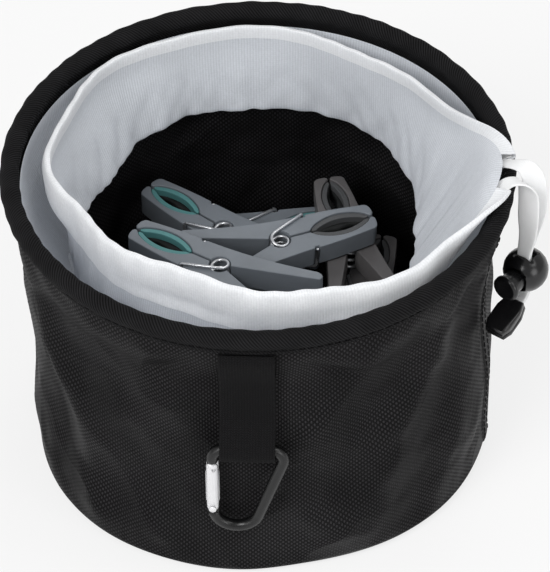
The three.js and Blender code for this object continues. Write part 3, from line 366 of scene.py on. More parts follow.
def grid_mesh(name, rows, uv_rows, around=False, tube=False, keep=None, ends=False):
    """A skin over rows of points. around joins the last row to the first, tube the last point of a row to its
    first. uv_rows has one more row and one more column than needed where they close."""
    rows = np.asarray(rows, float)
    uv_rows = np.asarray(uv_rows, float)
    count, width = rows.shape[:2]
    faces = []
    uvs = []
    for i in range(count if around else count - 1):
        for k in range(width if tube else width - 1):
            if keep is not None and not keep(i, k):
                continue
            i2, k2 = (i + 1) % count, (k + 1) % width
            faces.append((i * width + k, i2 * width + k, i2 * width + k2, i * width + k2))
            uvs += [uv_rows[i, k], uv_rows[i + 1, k], uv_rows[i + 1, k + 1], uv_rows[i, k + 1]]
    if ends:
        faces.append(tuple(range(width))[::-1])
        uvs += [uv_rows[0, k] for k in range(width)][::-1]
        last = (count - 1) * width
        faces.append(tuple(last + k for k in range(width)))
        uvs += [uv_rows[count - 1, k] for k in range(width)]
    return mesh_from(name, rows.reshape(-1, 3), faces, uvs)


def show(mesh, body, finish, replaces=()):
    """Adds a piece, named as its mesh, that rides on a body, or on none where it spans two, as a peg's wire
    does.
    """
    obj = bpy.data.objects.new(mesh.name, mesh)
    scene.collection.objects.link(obj)
    mesh.materials.append(finishes[finish])
    if body:
        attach(obj, body)
    if replaces:
        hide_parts(*replaces)
    return obj


def smooth_line(points, steps):
    """A line through all the points, rounded between them."""
    points = np.asarray(points, float)
    padded = np.vstack([2 * points[0] - points[1], points, 2 * points[-1] - points[-2]])
    line = []
    for i in range(len(points) - 1):
        a, b, c, d = padded[i:i + 4]
        for t in np.arange(steps) / steps:
            line.append(0.5 * (2 * b + (c - a) * t + (2 * a - 5 * b + 4 * c - d) * t ** 2
                               + (3 * b - a - 3 * c + d) * t ** 3))
    line.append(points[-1])
    return np.array(line)


def lengths_along(line):
    return np.concatenate([[0], np.cumsum(np.linalg.norm(np.diff(line, axis=0), axis=1))])


def ways_along(line):
    ways = np.gradient(line, axis=0)
    return ways / np.linalg.norm(ways, axis=1)[:, None]


def outward(line):
    """The outward ways of a line of radius and height that runs up."""
    along = ways_along(line)
    return np.column_stack([along[:, 1], -along[:, 0]])


def square_to(way, vector):
    """What is square to a way in a vector, at length 1."""
    vector = vector - way * np.dot(vector, way)
    return vector / np.linalg.norm(vector)


def cloth_grid(along, across):
    """Places on a cloth, for each length along it and each length across it."""
    return np.stack(np.meshgrid(along, across, indexing="ij"), axis=-1)


def polar(radius, angle, height):
    """Points at radii, angles in degrees and heights."""
    turn = np.radians(angle)
    return np.stack(np.broadcast_arrays(radius * np.cos(turn), radius * np.sin(turn), height), axis=-1)


def straight(start, end, steps):
    share = np.linspace(0, 1, steps + 1)[:, None]
    return np.asarray(start) * (1 - share) + np.asarray(end) * share


def bezier(start, first, second, end, steps):
    t = np.linspace(0, 1, steps + 1)[:, None]
    start, first, second, end = (np.array(p, float) for p in (start, first, second, end))
    return (1 - t) ** 3 * start + 3 * (1 - t) ** 2 * t * first + 3 * (1 - t) * t ** 2 * second + t ** 3 * end


def arc(centre, radius, start, end, steps):
    turns = np.radians(np.linspace(start, end, steps + 1))
    return np.column_stack([centre[0] + radius * np.cos(turns), centre[1] + radius * np.sin(turns)])


# A way that no wire starts along
ODD_WAY = (0.31, 0.22, 0.93)


def tube_mesh(name, line, radius, sides):
    """A round tube along a line, its frame carried along without twisting."""
    along = ways_along(line)
    across = np.cross(ODD_WAY, along[0])
    turns = np.linspace(0, 2 * np.pi, sides, endpoint=False)[:, None]
    rings = []
    for point, way in zip(line, along):
        across = square_to(way, across)
        rings.append(point + radius * (np.cos(turns) * across + np.sin(turns) * np.cross(way, across)))
    girth = np.linspace(0, 2 * np.pi * radius, sides + 1)
    return grid_mesh(name, rings, cloth_grid(lengths_along(line), girth), tube=True, ends=True)


def turned_mesh(name, profile, steps):
    """A profile of radius and height turned about Z."""
    angles = np.linspace(0, 360, steps, endpoint=False)[:, None]
    around = np.linspace(0, 2 * np.pi * profile[:, 0].max(), steps + 1)
    uvs = cloth_grid(around, lengths_along(profile))
    return grid_mesh(name, polar(profile[:, 0], angles, profile[:, 1]), uvs, around=True)


# A stitch's outline, as shares of its length and its thickness
STITCH = [(-0.5, 0.15), (-0.4, 0.75), (-0.15, 1), (0.15, 1), (0.4, 0.75), (0.5, 0.15)]
STITCH_SIDES = 6
STITCH_THICKNESS = 0.5


def stitches_mesh(name, places, ways, outs, length):
    """Short rounded threads, one per place."""
    turns = np.linspace(0, 2 * np.pi, STITCH_SIDES, endpoint=False)[:, None]
    points = []
    faces = []
    for place, way, out in zip(places, ways, outs):
        way = way / np.linalg.norm(way)
        out = square_to(way, out)
        ring = (np.cos(turns) * np.cross(way, out) + np.sin(turns) * out) * STITCH_THICKNESS / 2
        base = len(points)
        for reach, fat in STITCH:
            points += list(place + way * reach * length + fat * ring)
        last = base + (len(STITCH) - 1) * STITCH_SIDES
        for a in range(base, last, STITCH_SIDES):
            b = a + STITCH_SIDES
            for k in range(STITCH_SIDES):
                k2 = (k + 1) % STITCH_SIDES
                faces.append((a + k, a + k2, b + k2, b + k))
        faces.append(tuple(base + k for k in range(STITCH_SIDES))[::-1])
        faces.append(tuple(last + k for k in range(STITCH_SIDES)))
    return mesh_from(name, points, faces)


# Camera, on the photograph's own viewing line

def aim_camera():
    width_px, height_px = 550, 572
    lens_px = 3845
    sensor = 36
    distance = 1400
    azimuth, elevation, roll = (math.radians(turn) for turn in (3, 41.33, -0.43))
    centre = Vector((0, 0, RIM_TOP))
    back = Vector((math.sin(azimuth) * math.cos(elevation), -math.cos(azimuth) * math.cos(elevation),
                   math.sin(elevation)))
    right = Vector((math.cos(azimuth), math.sin(azimuth), 0))
    up = back.cross(right)
    rim_px = Vector((259.1 - width_px / 2, height_px / 2 - 160.2))
    aim = centre - (right * rim_px.x + up * rim_px.y) * (distance / lens_px)
    place = centre + back * distance
    camera = bpy.data.objects.new("camera", bpy.data.cameras.new("camera"))
    camera.data.sensor_width = sensor
    camera.data.lens = lens_px * sensor / height_px
    camera.data.clip_end = 20
    turn = (aim - place).to_track_quat("-Z", "Y").to_matrix().to_4x4() @ Matrix.Rotation(roll, 4, "Z")
    camera.matrix_world = Matrix.Translation(place * MM) @ turn
    scene.collection.objects.link(camera)
    scene.camera = camera


aim_camera()


# Drawstring: the two free ribbon ends, over the rim, through the ball and into the cord end

# The clip's way, the ribbons' turn from the ball towards it, their reaches into it, and steps of a run
CLIP_WAY = (0.94, -0.34)
TURN_AHEAD = 0.4
TURN_DROP = 1.9
TURN_SPREAD = 0.6
CLIP_REACHES = (0, 4, 7)
RUN_FINE = 5

exit_turn = np.array(Matrix.Rotation(math.radians(EXIT_ANGLE), 3, "Z"))
press = polar(1, PLUNGER_HEADING, 0)
aside = polar(1, PLUNGER_HEADING + 90, 0)
ball_centre = np.array([BALL_REACH, 0, BALL_HEIGHT])
clip_way = press * CLIP_WAY[0] + [0, 0, CLIP_WAY[1]]
clip_way /= np.linalg.norm(clip_way)
layer_pitch = RIBBON_THICKNESS + CLEARANCE
window_middle = PLUNGER_TRAVEL / 2


def from_exit(points):
    return np.asarray(points, float) @ exit_turn.T


def in_lock(along, up):
    return ball_centre + press * along + [0, 0, up]


def run_stations(points, layer):
    """Place, way of the width, and width, from the tunnel's end to the cord end."""
    stations = [(np.array(p[:3]) + [RIM_RADIUS, 0, RIM_TOP], np.array(p[3:]), width)
                for p, width in zip(points, RUN_WIDTHS)]
    along = window_middle + layer * layer_pitch
    for up in (BALL_RADIUS + 1, BALL_RADIUS / 2, 0, -BALL_RADIUS / 2, -BALL_RADIUS - 0.5):
        stations.append((in_lock(along, up), aside, RIBBON_BUNCHED))
    turn = in_lock(along + TURN_AHEAD, -BALL_RADIUS - TURN_DROP + layer * TURN_SPREAD)
    stations.append((turn, aside, RIBBON_BUNCHED))
    start = in_lock(window_middle + CLIP_AHEAD, -BALL_RADIUS - CLIP_DROP)
    lift = np.cross(clip_way, aside) * layer * layer_pitch
    for reach in CLIP_REACHES:
        stations.append((start + clip_way * reach + lift, aside, RIBBON_BUNCHED))
    return stations


# Out from the rim's middle, along it, up from its top, and way of the width
FRONT_RUN = [
    (-1.3, -8.7, 3.6, 1, 0, 0.28),
    (-1.3, -7.6, 3.6, 1, 0, 0.28),
    (-0.1, -6, 4.3, 0.95, -0.3, 0.2),
    (2.9, -4.4, 5.2, 0.75, -0.65, 0.1),
    (6.3, -3.4, 4.2, 0.7, -0.7, 0.1),
    (8.3, -2.8, 0.4, 0.85, -0.5, 0),
    (9, -2.4, -6, 0.93, -0.35, 0),
    (9.1, -2.2, -14, 0.93, -0.35, 0),
    (9.1, -1.8, -23, 0.92, -0.4, 0),
]
BACK_RUN = [
    (-1.3, 8.7, 3.6, 1, 0, 0.28),
    (-1.3, 7.6, 3.6, 1, 0, 0.28),
    (0.1, 6, 4.4, 0.95, 0.3, 0.2),
    (3.3, 4.8, 5.4, 0.75, 0.65, 0.1),
    (6.7, 3.8, 5.2, 0.7, 0.7, 0.1),
    (9.5, 3.2, 1.6, 0.85, 0.45, 0),
    (11.1, 2.8, -5, 0.95, 0.2, 0),
    (11.1, 2.2, -13.4, 0.97, 0, 0),
    (9.9, 1.2, -23, 0.92, -0.3, 0),
]
RUN_WIDTHS = [RIBBON_BUNCHED] * 4 + [RIBBON_GATHERED] + [RIBBON_WIDTH] * 3 + [RIBBON_GATHERED]
# Half of a ribbon's section: share of the half width, share of the half thickness
RIBBON_SECTION = [
    (1, 0), (0.96, 0.8), (0.85, 1), (0.45, 0.9), (0, 0.9), (-0.45, 0.9), (-0.85, 1), (-0.96, 0.8),
]


def ribbon_mesh(name, places, across, widths):
    section = np.array(RIBBON_SECTION + [(-a, -b) for a, b in RIBBON_SECTION])
    rows = []
    for place, way, side, width in zip(places, ways_along(places), across, widths):
        side = square_to(way, side)
        up = np.cross(way, side)
        reach = np.outer(section[:, 0] * width / 2, side)
        rows.append(place + reach + np.outer(section[:, 1] * RIBBON_THICKNESS / 2, up))
    girth = np.append(section[:, 0], section[0, 0]) * RIBBON_WIDTH / 2
    return grid_mesh(name, rows, cloth_grid(lengths_along(places), girth), tube=True, ends=True)


def free_run(name, points, layer, with_pieces):
    stations = run_stations(points, layer)
    places = from_exit(smooth_line([s[0] for s in stations], RUN_FINE))
    across = from_exit(smooth_line([s[1] for s in stations], RUN_FINE))
    widths = smooth_line([[s[2]] for s in stations], RUN_FINE)[:, 0]
    mesh = ribbon_mesh(name, places, across, widths)
    obj = show(mesh, "basket", "ribbon", ["drawstring_" + name])


def make_lock_coil():
    """The spring inside the ball, at one length, though the real one shortens by the plunger's travel when
    pressed.
    """
    mesh = nodes["lock_spring"].data.copy()
    mesh.name = "lock_coil"
    mesh.materials.clear()
    coil = show(mesh, "lock", "steel", ["lock_spring"])
    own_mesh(coil)
    return coil


free_run("front_run", FRONT_RUN, 0.5, [nodes["lock_ball"], nodes["lock_plunger"], make_lock_coil(),
                                       nodes["cord_end_front"]])
free_run("back_run", BACK_RUN, -0.5, [nodes["cord_end_back"]])


# Values that change round the ring

def around_ring(stops):
    """A smooth value round the ring from angle and value stops."""
    stops = sorted(stops)
    angles = np.array([s[0] for s in stops], float)
    values = np.array([s[1] for s in stops], float)
    angles = np.concatenate([angles - 360, angles, angles + 360])
    values = np.tile(values, 3)

    def at(angle):
        angle = stops[0][0] + (angle - stops[0][0]) % 360
        i = int(np.searchsorted(angles, angle, side="right")) - 1
        span = angles[i + 1] - angles[i]
        t = (angle - angles[i]) / span
        from_slope = (values[i + 1] - values[i - 1]) / (angles[i + 1] - angles[i - 1]) * span
        to_slope = (values[i + 2] - values[i]) / (angles[i + 2] - angles[i]) * span
        smooth = t * t * (3 - 2 * t)
        lift = t * (1 - t) * ((1 - t) * from_slope - t * to_slope)
        return values[i] + (values[i + 1] - values[i]) * smooth + lift
    return at


def wavy(angle, waves, bends, bend):
    """Waves round the ring, their pace bent by slower ones, from -1 to 1."""
    return math.sin(math.radians(waves * angle) + bend * math.sin(math.radians(bends * angle)))


def from_middle(angles, middle):
    """Angles from a middle, from -180 to 180 degrees."""
    return (angles - middle + 180) % 360 - 180


# Fabric bag: a lofted shell with the folds that the soft cloth falls into

# The cloth's fold at the floor, the wall's way into the binding, and how far up the filled bag stands out
FOOT_ROUND = 3.5
FLOOR_GAP = 0.2
FLARE_EASE = 8
WALL_STOP = 2.6
SIDE_FULL_TO = 72
SIDE_FULL_EASE = 40
FOOT_FULL_TO = 45
side_fullness = np.vectorize(around_ring([
    (0, 2.8), (40, 1.2), (90, 0.4), (140, -0.8), (180, -2.4), (215, -1), (260, 0), (285, 0), (309, 1),
    (326, 2.4), (342, 3.4),
]))
foot_fullness = np.vectorize(around_ring([
    (0, -1), (90, 0.6), (180, 0.2), (206, 3), (229, 4.6), (250, 3.6), (267, 2.6), (284, 0.7), (309, 1.4),
    (326, 0.6), (342, -1),
]))


def eased(share):
    share = np.clip(share, 0, 1)
    return share * share * (3 - 2 * share)


def fullness(angles, radii, heights):
    """How far the filled bag stands out past a straight wall."""
    low = side_fullness(angles) * eased((SIDE_FULL_TO - heights) / SIDE_FULL_EASE)
    foot = foot_fullness(angles) * eased((FOOT_FULL_TO - heights) / FOOT_FULL_TO)
    from_seam = (radii - BODY_RADIUS + BASE_SEAM_INSET) / (BASE_SEAM_INSET - FOOT_ROUND)
    return (low + foot) * np.clip(from_seam, 0, 1)


def flare_line(offset, steps):
    """The wall's flare out to the hoop, at an offset from its middle."""
    low = wall_middle + offset
    high = wall_top_radius + offset
    return bezier((low, flare_foot), (low, flare_foot + FLARE_EASE), (high, flare_top - FLARE_EASE),
                  (high, flare_top), steps)


def wall_profile():
    """Radius and height of the wall's outer face, from the base seam into the binding, and its ways out."""
    floor = FLOOR_GAP + FABRIC / 2
    fold = wall_middle - FOOT_ROUND
    middle = np.vstack([
        straight((BODY_RADIUS - BASE_SEAM_INSET, floor), (fold, floor), 3)[:-1],
        arc((fold, floor + FOOT_ROUND), FOOT_ROUND, -90, 0, 12),
        straight((wall_middle, floor + FOOT_ROUND), (wall_middle, flare_foot), 58)[1:],
        flare_line(0, 16)[1:],
        straight((wall_top_radius, flare_top), (wall_top_radius, hoop_height - WALL_STOP), 4)[1:],
    ])
    out = outward(middle)
    return middle + out * FABRIC / 2, out


# Folds: points of angle from the tab (towards the lock) and share of the rim's height, width, and depth
FOLDS = [
    ([(-66, 0.89), (-58, 0.67), (-45, 0.41), (-41, 0.08)], 8, 2.4),
    ([(-74, 0.89), (-68, 0.63), (-58, 0.38), (-54, 0.1)], 8, -1.6),
    ([(-34, 0.89), (-33, 0.67), (-30, 0.48)], 7, -0.9),
    ([(-14, 0.9), (-17, 0.83), (-24, 0.76)], 5, -1.7),
    ([(13, 0.9), (16, 0.83), (25, 0.77)], 5, -1.8),
    ([(30, 0.9), (29, 0.79), (24, 0.68), (14, 0.56)], 7, 1.7),
    ([(44, 0.86), (38, 0.67), (26, 0.46), (20, 0.27)], 8, -1.5),
    ([(48, 0.67), (36, 0.44), (33, 0.17)], 8, 2),
    ([(62, 0.89), (58, 0.63), (50, 0.35), (46, 0.08)], 8, -1.5),
    ([(74, 0.84), (70, 0.56), (66, 0.24)], 9, 1.8),
    ([(112, 0.67), (106, 0.52), (112, 0.16)], 9, -1.6),
    ([(140, 0.87), (150, 0.56), (146, 0.14)], 10, 1.9),
    ([(166, 0.67), (172, 0.5), (180, 0.13)], 9, -1.5),
    ([(200, 0.89), (196, 0.6), (206, 0.16)], 10, 1.9),
    ([(228, 0.67), (236, 0.5), (230, 0.13)], 9, -1.6),
    ([(262, 0.67), (266, 0.5), (276, 0.16)], 8, -1.3),
]
FOLD_FADE = 12
FOLD_FOOT = 0.2
SAG = 0.6
LONG_WAVE = 0.5
SHORT_WAVE = 0.35
# The cloth lies calmer under the tab: half its width there, the way back, and the share of a dip that is kept
TAB_CALM = 8
TAB_EASE = 6
TAB_KEPT = 0.25

# Creases that cross the cloth: waves round the wall, slant against height, phase and depth
CREASES = [(7, 0.035, 0.8, 1.5), (11, -0.05, 2.6, 1.2), (5, 0.06, 4.4, 1.3), (17, 0.08, 1.7, 0.6)]
CREASE_LIFT = 0.95
CREASE_WANDER = 0.7
WANDER_WAVES = 3
WANDER_SLANT = 0.02
# The flat strip beside the lock: its angle from the tab, half its width, and the way back
FLAT_FROM_TAB = 78
FLAT_HALF = 8
FLAT_EASE = 10


def crease_depth(from_tab, heights):
    """Soft facets that meet in creases, flat beside the lock."""
    depth = np.zeros(np.broadcast(from_tab, heights).shape)
    for waves, slant, phase, out in CREASES:
        wander = CREASE_WANDER * np.sin(np.radians(WANDER_WAVES * from_tab) + phase + heights * WANDER_SLANT)
        wave = np.sin(np.radians(waves * from_tab / 2) + slant * heights + phase + wander)
        depth += out * (CREASE_LIFT - np.abs(wave))
    from_flat = np.abs(from_middle(from_tab, FLAT_FROM_TAB))
    return depth * np.clip((from_flat - FLAT_HALF) / FLAT_EASE, 0, 1)


def fold_depth(angles, heights):
    """How far the cloth stands out at angles from +X, degrees, and heights."""
    from_tab = angles + 90
    level = heights / RIM_TOP
    fade = FOLD_FADE / RIM_TOP
    depth = crease_depth(from_tab, heights)
    for line, width, out in FOLDS:
        line = np.asarray(line, float)
        middle = np.interp(level, line[::-1, 1], line[::-1, 0])
        reach = np.radians(from_middle(from_tab, middle)) * BODY_RADIUS
        kept = np.clip((level - line[-1, 1]) / fade + 1, 0, 1)
        kept = kept * np.clip((line[0, 1] - level) / fade + 1, 0, 1)
        depth += out * kept * np.exp(-(reach / width) ** 2)
    slack = LONG_WAVE * np.sin(np.radians(3 * from_tab + 40))
    slack = slack + SHORT_WAVE * np.sin(np.radians(7 * from_tab + heights * 1.3))
    depth += (slack - SAG) * np.clip((flare_foot - heights) / FOLD_FADE, 0, 1)
    ease = np.clip(heights / FOLD_FADE - FOLD_FOOT, 0, 1)
    ease = ease * np.clip((binding_foot - 1 - heights) / FOLD_FADE, 0, 1)
    calm = np.clip((np.abs(from_middle(from_tab, 0)) - TAB_CALM) / TAB_EASE, 0, 1)
    return ease * np.where(depth > 0, depth * calm, depth * (TAB_KEPT + (1 - TAB_KEPT) * calm))


profile, profile_out = wall_profile()
profile_run = lengths_along(profile)


def wall_face(angles, steps):
    """Points of the wall's outer face and its outward ways, at angles and at steps of the profile."""
    radii, heights = profile[steps, 0], profile[steps, 1]
    out, up = profile_out[steps, 0], profile_out[steps, 1]
    push = fold_depth(angles, heights)
    points = polar(radii + out * push + fullness(angles, radii, heights), angles, heights + up * push)
    return points, polar(out, angles, up)


def bag_wall():
    steps = 300
    angles = np.linspace(0, 360, steps, endpoint=False)[:, None]
    points, _ = wall_face(angles, np.arange(len(profile))[None, :])
    uvs = cloth_grid(np.linspace(0, 2 * np.pi * BODY_RADIUS, steps + 1), profile_run)
    mesh = grid_mesh("bag_wall", points, uvs, around=True)
    obj = show(mesh, "basket", "bag", ["side_wall"])
    shell = obj.modifiers.new("cloth", "SOLIDIFY")
    shell.thickness = FABRIC * MM
    shell.offset = -1


# The felled seam: its angle, half its width, how far each strip stands out, and its two rows of stitches
SEAM_ANGLE = -10.5
SEAM_HALF = 2.9
SEAM_LIFT = [0.1, 0.5, 0.6, 0.62, 0.62, 0.62, 0.6, 0.5, 0.1]
SEAM_ROW = 0.62 * SEAM_HALF
SEAM_ROW_LIFT = 0.68
SEAM_PITCH = 3.2
SEAM_STITCH = 2.6


def side_seam():
    """Felled seam up the wall near the lock, with two rows of stitches."""
    steps = np.arange(14, len(profile) - 5)
    across = np.linspace(-SEAM_HALF, SEAM_HALF, len(SEAM_LIFT))
    points, ways = wall_face((SEAM_ANGLE + across)[:, None], steps[None, :])
    rows = points + ways * np.array(SEAM_LIFT)[:, None, None]
    uvs = cloth_grid(np.radians(across) * BODY_RADIUS, profile_run[steps])
    show(grid_mesh("side_seam", rows, uvs), "basket", "bag")
    places, directions, outs = [], [], []
    for offset in (-SEAM_ROW, SEAM_ROW):
        line, way = wall_face(np.full(len(steps), SEAM_ANGLE + offset), steps)
        line = line + way * SEAM_ROW_LIFT
        run = lengths_along(line)
        reach = np.arange(2, run[-1] - 2, SEAM_PITCH)
        here, ahead, behind = (np.column_stack([np.interp(at, run, line[:, k]) for k in range(3)])
                               for at in (reach, reach + 1, reach - 1))
        places += list(here)
        directions += list(ahead - behind)
        outs += [way[len(way) // 2]] * len(reach)
    mesh = stitches_mesh("seam_stitches", places, directions, outs, SEAM_STITCH)
    show(mesh, "basket", "thread")


def bag_base():
    """Round panel sewn into the floor, slightly hollow, with a rounded edge."""
    edge = BODY_RADIUS - BASE_SEAM_INSET - CLEARANCE
    top = [(0.01, BASE_THICKNESS - 0.3), (edge * 0.5, BASE_THICKNESS - 0.2), (edge - 3, BASE_THICKNESS - 0.1),
           (edge - 0.8, BASE_THICKNESS), (edge, BASE_THICKNESS * 0.6)]
    low = [(edge, BASE_THICKNESS * 0.3), (edge - 0.6, 0.02), (edge - 3, 0.0), (edge * 0.5, 0.0), (0.01, 0.0)]
    mesh = turned_mesh("bag_base", np.vstack([smooth_line(top, 4), smooth_line(low, 4)]), 160)
    show(mesh, "basket", "bag", ["base_panel"])


bag_wall()
side_seam()
bag_base()


# Rim: twill tape round the hoop, gripping the wall's top edge, with a stitch line along its foot

TAPE_STOP = 2.4
RIM_STITCHES = 176
RIM_STITCH = 2.5


def rim_tape():
    grip = FABRIC / 2 + CLEARANCE
    legs = grip + BINDING_CLOTH
    start = math.degrees(math.acos((legs - WALL_INSET) / RIM_ROUND))
    end = 360 - math.degrees(math.acos((-legs - WALL_INSET) / RIM_ROUND))
    outer, outer_grip = wall_top_radius + legs, wall_top_radius + grip
    inner, inner_grip = wall_top_radius - legs, wall_top_radius - grip
    stop = hoop_height - TAPE_STOP
    outline = np.vstack([
        [(outer_grip, binding_foot), (outer - 0.2, binding_foot - 0.1), (outer, binding_foot + 0.3)],
        arc((RIM_RADIUS, hoop_height), RIM_ROUND, -start, end, 40),
        [(inner, binding_foot + 0.3), (inner + 0.2, binding_foot - 0.1), (inner_grip, binding_foot),
         (inner_grip, stop), (outer_grip, stop)],
    ])
    out = outline - [RIM_RADIUS, hoop_height]
    out /= np.linalg.norm(out, axis=1)[:, None]
    out *= np.clip((outline[:, 1:] - binding_foot - 1) / 3, 0, 1)
    steps = 360
    rows = []
    for angle in np.linspace(0, 360, steps, endpoint=False):
        pucker = 0.14 * wavy(angle, 61, 5, 2) + 0.1 * math.sin(math.radians(23 * angle) + 1.3)
        shape = outline + out * pucker
        rows.append(polar(shape[:, 0], angle, shape[:, 1]))
    run = lengths_along(np.vstack([outline, outline[:1]]))
    uvs = cloth_grid(np.linspace(0, 2 * np.pi * RIM_RADIUS, steps + 1), run)
    mesh = grid_mesh("rim_tape", rows, uvs, around=True, tube=True)
    show(mesh, "basket", "binding", ["rim_binding"])
    turns = np.linspace(0, 360, RIM_STITCHES, endpoint=False)
    outs = polar(1, turns, 0)
    places = outs * (outer + 0.1) + [0, 0, binding_foot + 1.3]
    mesh = stitches_mesh("rim_stitches", places, polar(1, turns + 90, 0), outs, RIM_STITCH)
    show(mesh, "basket", "thread")


rim_tape()


# Mesh collar: hangs from the rim, folds at a hem and comes back up to the drawstring tunnel

# The hem as shares of the body's radius and the rim's height, the tunnel of the rim's radius and height,
# and its lean in degrees
hem_radius = around_ring([
    (8, 0.698), (30, 0.779), (60, 0.919), (90, 0.93), (120, 0.919), (150, 0.802), (180, 0.814),
    (225, 0.849), (270, 0.872), (305, 0.814), (330, 0.721), (350, 0.686),
])
hem_height = around_ring([
    (0, 0.627), (45, 0.651), (135, 0.659), (225, 0.651), (300, 0.651), (335, 0.627),
])
tunnel_radius = around_ring([
    (EXIT_ANGLE - 4, 0.923), (EXIT_ANGLE + 4, 0.923), (16, 0.884), (32, 0.84), (50, 0.834),
    (90, 0.912), (130, 0.912), (160, 0.867), (185, 0.823), (205, 0.762), (225, 0.74), (250, 0.738),
    (264, 0.757), (280, 0.807), (302, 0.873), (324, 0.9),
])
tunnel_foot = around_ring([
    (EXIT_ANGLE - 5, 1.016), (EXIT_ANGLE + 5, 1.016), (18, 0.929), (45, 0.889), (90, 0.873),
    (180, 0.889), (215, 0.913), (250, 0.929), (290, 0.929), (330, 0.937),
])
tunnel_lean = around_ring([
    (EXIT_ANGLE - 5, 74), (EXIT_ANGLE + 5, 74), (EXIT_ANGLE + 16, 30), (EXIT_ANGLE + 28, 0), (90, 0),
    (180, 0), (270, 0), (EXIT_ANGLE + 332, 0), (EXIT_ANGLE + 344, 30),
])
gather_fade = around_ring([
    (EXIT_ANGLE - 8, 0), (EXIT_ANGLE + 8, 0), (40, 1), (90, 0.5), (140, 1), (220, 1), (310, 1),
])
tunnel_half = RIBBON_THICKNESS / 2 + CLEARANCE + MESH / 2
SEAM_RISE = 2
SLACK_DROP = 8.4
HEM_RISE = 1.2
# The tunnel's waves, its puffed outer face, and its last edge, tucked in where the tunnel stands upright
TUNNEL_WAVE = 0.25
TUNNEL_PUFF = 1.6
PUFF_LEVEL = 0.65
PUFF_WAVE = 0.2
TUCK = 0.6
TUCK_LEAN = 8
EDGE_DROP = 0.1
LEAF_GAP = 0.9


def tunnel_frame(angle):
    """The tunnel's foot at an angle, and its ways up and out, as radius and height."""
    lean = math.radians(tunnel_lean(angle))
    gather = GATHER_DEPTH * gather_fade(angle) * math.cos(GATHERS * math.radians(angle))
    foot = np.array([tunnel_radius(angle) * RIM_RADIUS + gather, tunnel_foot(angle) * RIM_TOP])
    return foot, np.array([math.sin(lean), math.cos(lean)]), np.array([math.cos(lean), -math.sin(lean)])


def collar_line(angle):
    """The cloth at an angle, from the rim seam round the hem to the tunnel's edge, as radius and height."""
    foot, up, out = tunnel_frame(angle)
    inside = wall_top_radius - FABRIC / 2 - CLEARANCE - BINDING_CLOTH
    seam = np.array([inside - CLEARANCE * 1.5 - MESH / 2, binding_foot + SEAM_RISE])
    hem = np.array([hem_radius(angle) * BODY_RADIUS, hem_height(angle) * RIM_TOP])
    hem_out = hem + [HEM_FOLD, HEM_FOLD * HEM_RISE]
    hem_in = hem + [-HEM_FOLD, HEM_FOLD * HEM_RISE]
    slack = seam + [-HEM_FOLD, -SLACK_DROP]
    loose = gather_fade(angle)
    height = TUNNEL_HEIGHT + TUNNEL_WAVE * loose * wavy(angle, 37, 5, 2)
    puff = TUNNEL_PUFF * loose * (PUFF_LEVEL + PUFF_WAVE * wavy(angle, 29, 3, 3))
    tunnel_in = foot - out * tunnel_half
    tuck = max(0.0, 1 - tunnel_lean(angle) / TUCK_LEAN) * loose
    leaf_slope = (hem_in[0] - tunnel_in[0]) / (tunnel_in[1] - hem_in[1])
    leaf_side = leaf_slope * height * (EDGE_DROP + TUCK) - tunnel_half + LEAF_GAP

    def tunnel_at(rise, side):
        return foot + up * height * rise + out * side

    return np.array([
        seam,
        slack,
        (slack + hem_out) / 2,
        hem_out,
        hem,
        hem_in,
        (hem_in + tunnel_in) / 2,
        tunnel_in,
        tunnel_at(0.9, -tunnel_half),
        tunnel_at(1, 0),
        tunnel_at(0.9, tunnel_half + puff * 0.4),
        tunnel_at(0.5, tunnel_half + puff),
        tunnel_at(0.06, tunnel_half + puff * (0.3 + 0.45 * tuck)),
        tunnel_at(-0.06 - 0.26 * tuck, CLEARANCE + (tunnel_half * 0.5 + puff * 0.3) * tuck),
        tunnel_at(-EDGE_DROP - TUCK * tuck, CLEARANCE + (leaf_side - CLEARANCE) * tuck),
    ])


# Crumples of the inner leaf: waves round the ring, slant against height, phase and depth
CRUMPLES = [(19, 0.09, 0.4, 0.8), (31, -0.16, 1.9, 0.6), (47, 0.23, 3.1, 0.4), (71, -0.2, 5, 0.25)]
CRUMPLE_LIFT = 0.6
CRUMPLE_WANDER = 1.5
# Ripples of both leaves: waves round the ring, the slower waves that bend them, how much, and depth
RIPPLES = [(31, 4, 3, 0.36), (67, 7, 2, 0.18), (11, 3, 2, 0.72)]
# Where ripples and crumples start, and how far they go, as shares of the cloth's run
RIPPLE_SPAN = (0.08, 0.45)
CRUMPLE_SPAN = (0.3, 0.165)
# The ring that the cloth was cut for, and the tunnel's radius at the exit
COLLAR_RING = 82
EXIT_RADIUS = 89


def crumple(angle, heights):
    """How far the gathered cloth is pushed in and out, with soft valleys and sharper ridges."""
    push = np.zeros(len(heights))
    for waves, slant, phase, depth in CRUMPLES:
        wander = CRUMPLE_WANDER * math.sin(math.radians(5 * angle) + phase)
        wave = np.sin(math.radians(waves * angle / 2) + slant * heights + phase + wander)
        push += depth * (CRUMPLE_LIFT - np.abs(wave))
    return push


def hump(run, first, span):
    return np.sin(np.pi * np.clip((run - first) / span, 0, 1))


